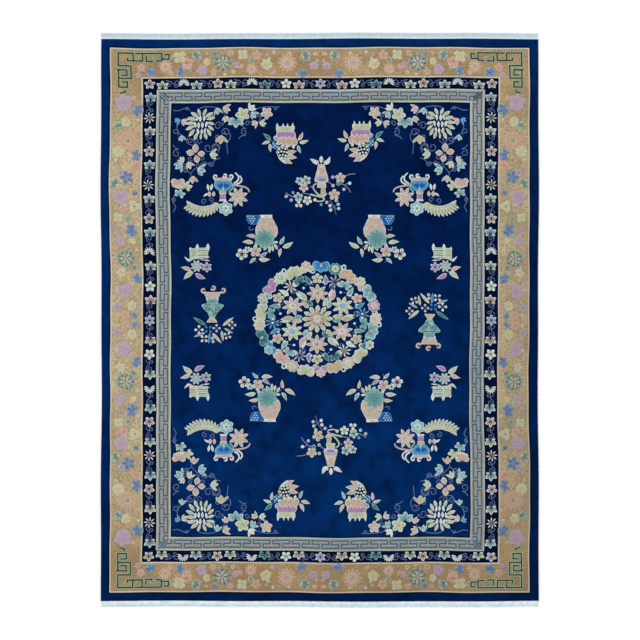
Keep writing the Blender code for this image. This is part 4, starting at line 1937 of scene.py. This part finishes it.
class RUG_OT_medallion(bpy.types.Operator):
    """Make the round medallion: a ring of small clouds about six sprays of lotus"""

    bl_idname = "rug.medallion"
    bl_label = "Medallion"

    def execute(self, context):
        middle = Lie(((1, 0), (0, -1)), (-3.1 * NET, 1.5 * NET))
        ring = Carving()
        count = 25
        for number in range(count):
            angle = 2 * math.pi * number / count
            x, y = 57.6 * math.cos(angle) * NET, 51.6 * math.sin(angle) * NET
            figure = RING_FIGURES[number % len(RING_FIGURES)]
            colours = RING_COLOURS[number % len(RING_COLOURS)]
            place = middle.at(x, y, turn=math.degrees(angle) - 90, wide=1.05)
            draw(ring, place, figure.format(*colours), NET)
            if number % 2:
                hook = "+curl ivory 1.3 7 {0} 2.8 {1} {2}"
                side = 1 if number % 4 == 1 else -1
                draw(ring, place, hook.format(4.4 * side, -90 * side, 300 * side), NET)
        ring.finish("medallion_ring")
        flowers = Carving()
        inside = middle.at(0, 0, wide=1.13)
        draw(flowers, inside, MEDALLION_HEART, NET)
        for number in range(6):
            colours = SPRAY_COLOURS[number % len(SPRAY_COLOURS)]
            place = inside.at(0, 0, turn=60 * number)
            draw(flowers, place, MEDALLION_SPRAY.format(*colours), NET)
        flowers.finish("medallion_flowers")
        return {"FINISHED"}


# ---------------------------------------------------------------- the stage


# The picture is this many pixels wide, and one of them is this long on the rug.
PICTURE_PIXELS, PIXEL = 640, 6.245 * MM


class RUG_OT_stage(bpy.types.Operator):
    """Make the pale floor, the soft light and the camera straight above the rug"""

    bl_idname = "rug.stage"
    bl_label = "Stage"

    def execute(self, context):
        bpy.ops.object.select_all(action="DESELECT")
        bpy.ops.mesh.primitive_plane_add(size=40, location=(0, 0, -0.4 * MM))
        floor = context.object
        floor.name = "pale_floor"
        paint = bpy.data.materials.new("pale_floor")
        paint.use_nodes = True
        shader = paint.node_tree.nodes["Principled BSDF"]
        shader.inputs["Base Color"].default_value = (0.95, 0.95, 0.95, 1.0)
        shader.inputs["Roughness"].default_value = 0.9
        shader.inputs["Specular IOR Level"].default_value = 0.1
        floor.data.materials.append(paint)
        self.add_light(context)
        self.add_camera(context)
        return {"FINISHED"}

    def add_light(self, context):
        """Light the room evenly, with one soft lamp from the upper left."""
        world = bpy.data.worlds.new("soft_room")
        world.use_nodes = True
        backdrop = world.node_tree.nodes["Background"]
        backdrop.inputs["Color"].default_value = (1.0, 1.0, 1.0, 1.0)
        backdrop.inputs["Strength"].default_value = 0.70
        context.scene.world = world
        bpy.ops.object.light_add(type="SUN", location=(-3, 3, 6))
        lamp = context.object
        lamp.name = "soft_lamp"
        lamp.rotation_euler = (math.radians(-42), math.radians(-38), 0)
        lamp.data.energy = 2.0
        lamp.data.angle = math.radians(24)
        context.scene.view_settings.view_transform = "Standard"

    def add_camera(self, context):
        """Look straight down from far enough that the rug keeps its true outline."""
        lens, sensor = 100.0, 36.0
        height = RUG_TOP + PICTURE_PIXELS * PIXEL * lens / sensor
        bpy.ops.object.camera_add(location=(2 * MM, 0, height), rotation=(0, 0, 0))
        camera = context.object
        camera.name = "overhead_camera"
        camera.data.lens = lens
        camera.data.sensor_width = sensor
        context.scene.camera = camera


# ---------------------------------------------------------------- the add-on

OPERATORS = (
    RUG_OT_pile,
    RUG_OT_fringe,
    RUG_OT_fret,
    RUG_OT_guard,
    RUG_OT_gold,
    RUG_OT_keys,
    RUG_OT_sprays,
    RUG_OT_figures,
    RUG_OT_medallion,
    RUG_OT_stage,
)


class RUG_PT_panel(bpy.types.Panel):
    """Lists the rug's pieces, sizes and dyes"""

    bl_label = "Chinese Rug"
    bl_idname = "RUG_PT_panel"
    bl_space_type = "VIEW_3D"
    bl_region_type = "UI"
    bl_category = "Rug"

    def draw(self, context):
        for operator in OPERATORS:
            self.layout.operator(operator.bl_idname)
        for group in (context.scene.rug_sizes, context.scene.rug_bands, context.scene.rug_dyes):
            column = self.layout.column()
            for name in type(group).__annotations__:
                column.prop(group, name)


CLASSES = (RugSizes, RugBands, RugDyes, *OPERATORS, RUG_PT_panel)


def register():
    """Add the rug's settings, operators and panel."""
    for item in CLASSES:
        bpy.utils.register_class(item)
    bpy.types.Scene.rug_sizes = bpy.props.PointerProperty(type=RugSizes)
    bpy.types.Scene.rug_bands = bpy.props.PointerProperty(type=RugBands)
    bpy.types.Scene.rug_dyes = bpy.props.PointerProperty(type=RugDyes)


def unregister():
    """Take the rug's settings, operators and panel away."""
    del bpy.types.Scene.rug_dyes, bpy.types.Scene.rug_bands, bpy.types.Scene.rug_sizes
    for item in reversed(CLASSES):
        bpy.utils.unregister_class(item)


def main():
    """Make every piece in order."""
    register()
    for operator in OPERATORS:
        group, name = operator.bl_idname.split(".")
        getattr(getattr(bpy.ops, group), name)()


if __name__ == "__main__":
    main()
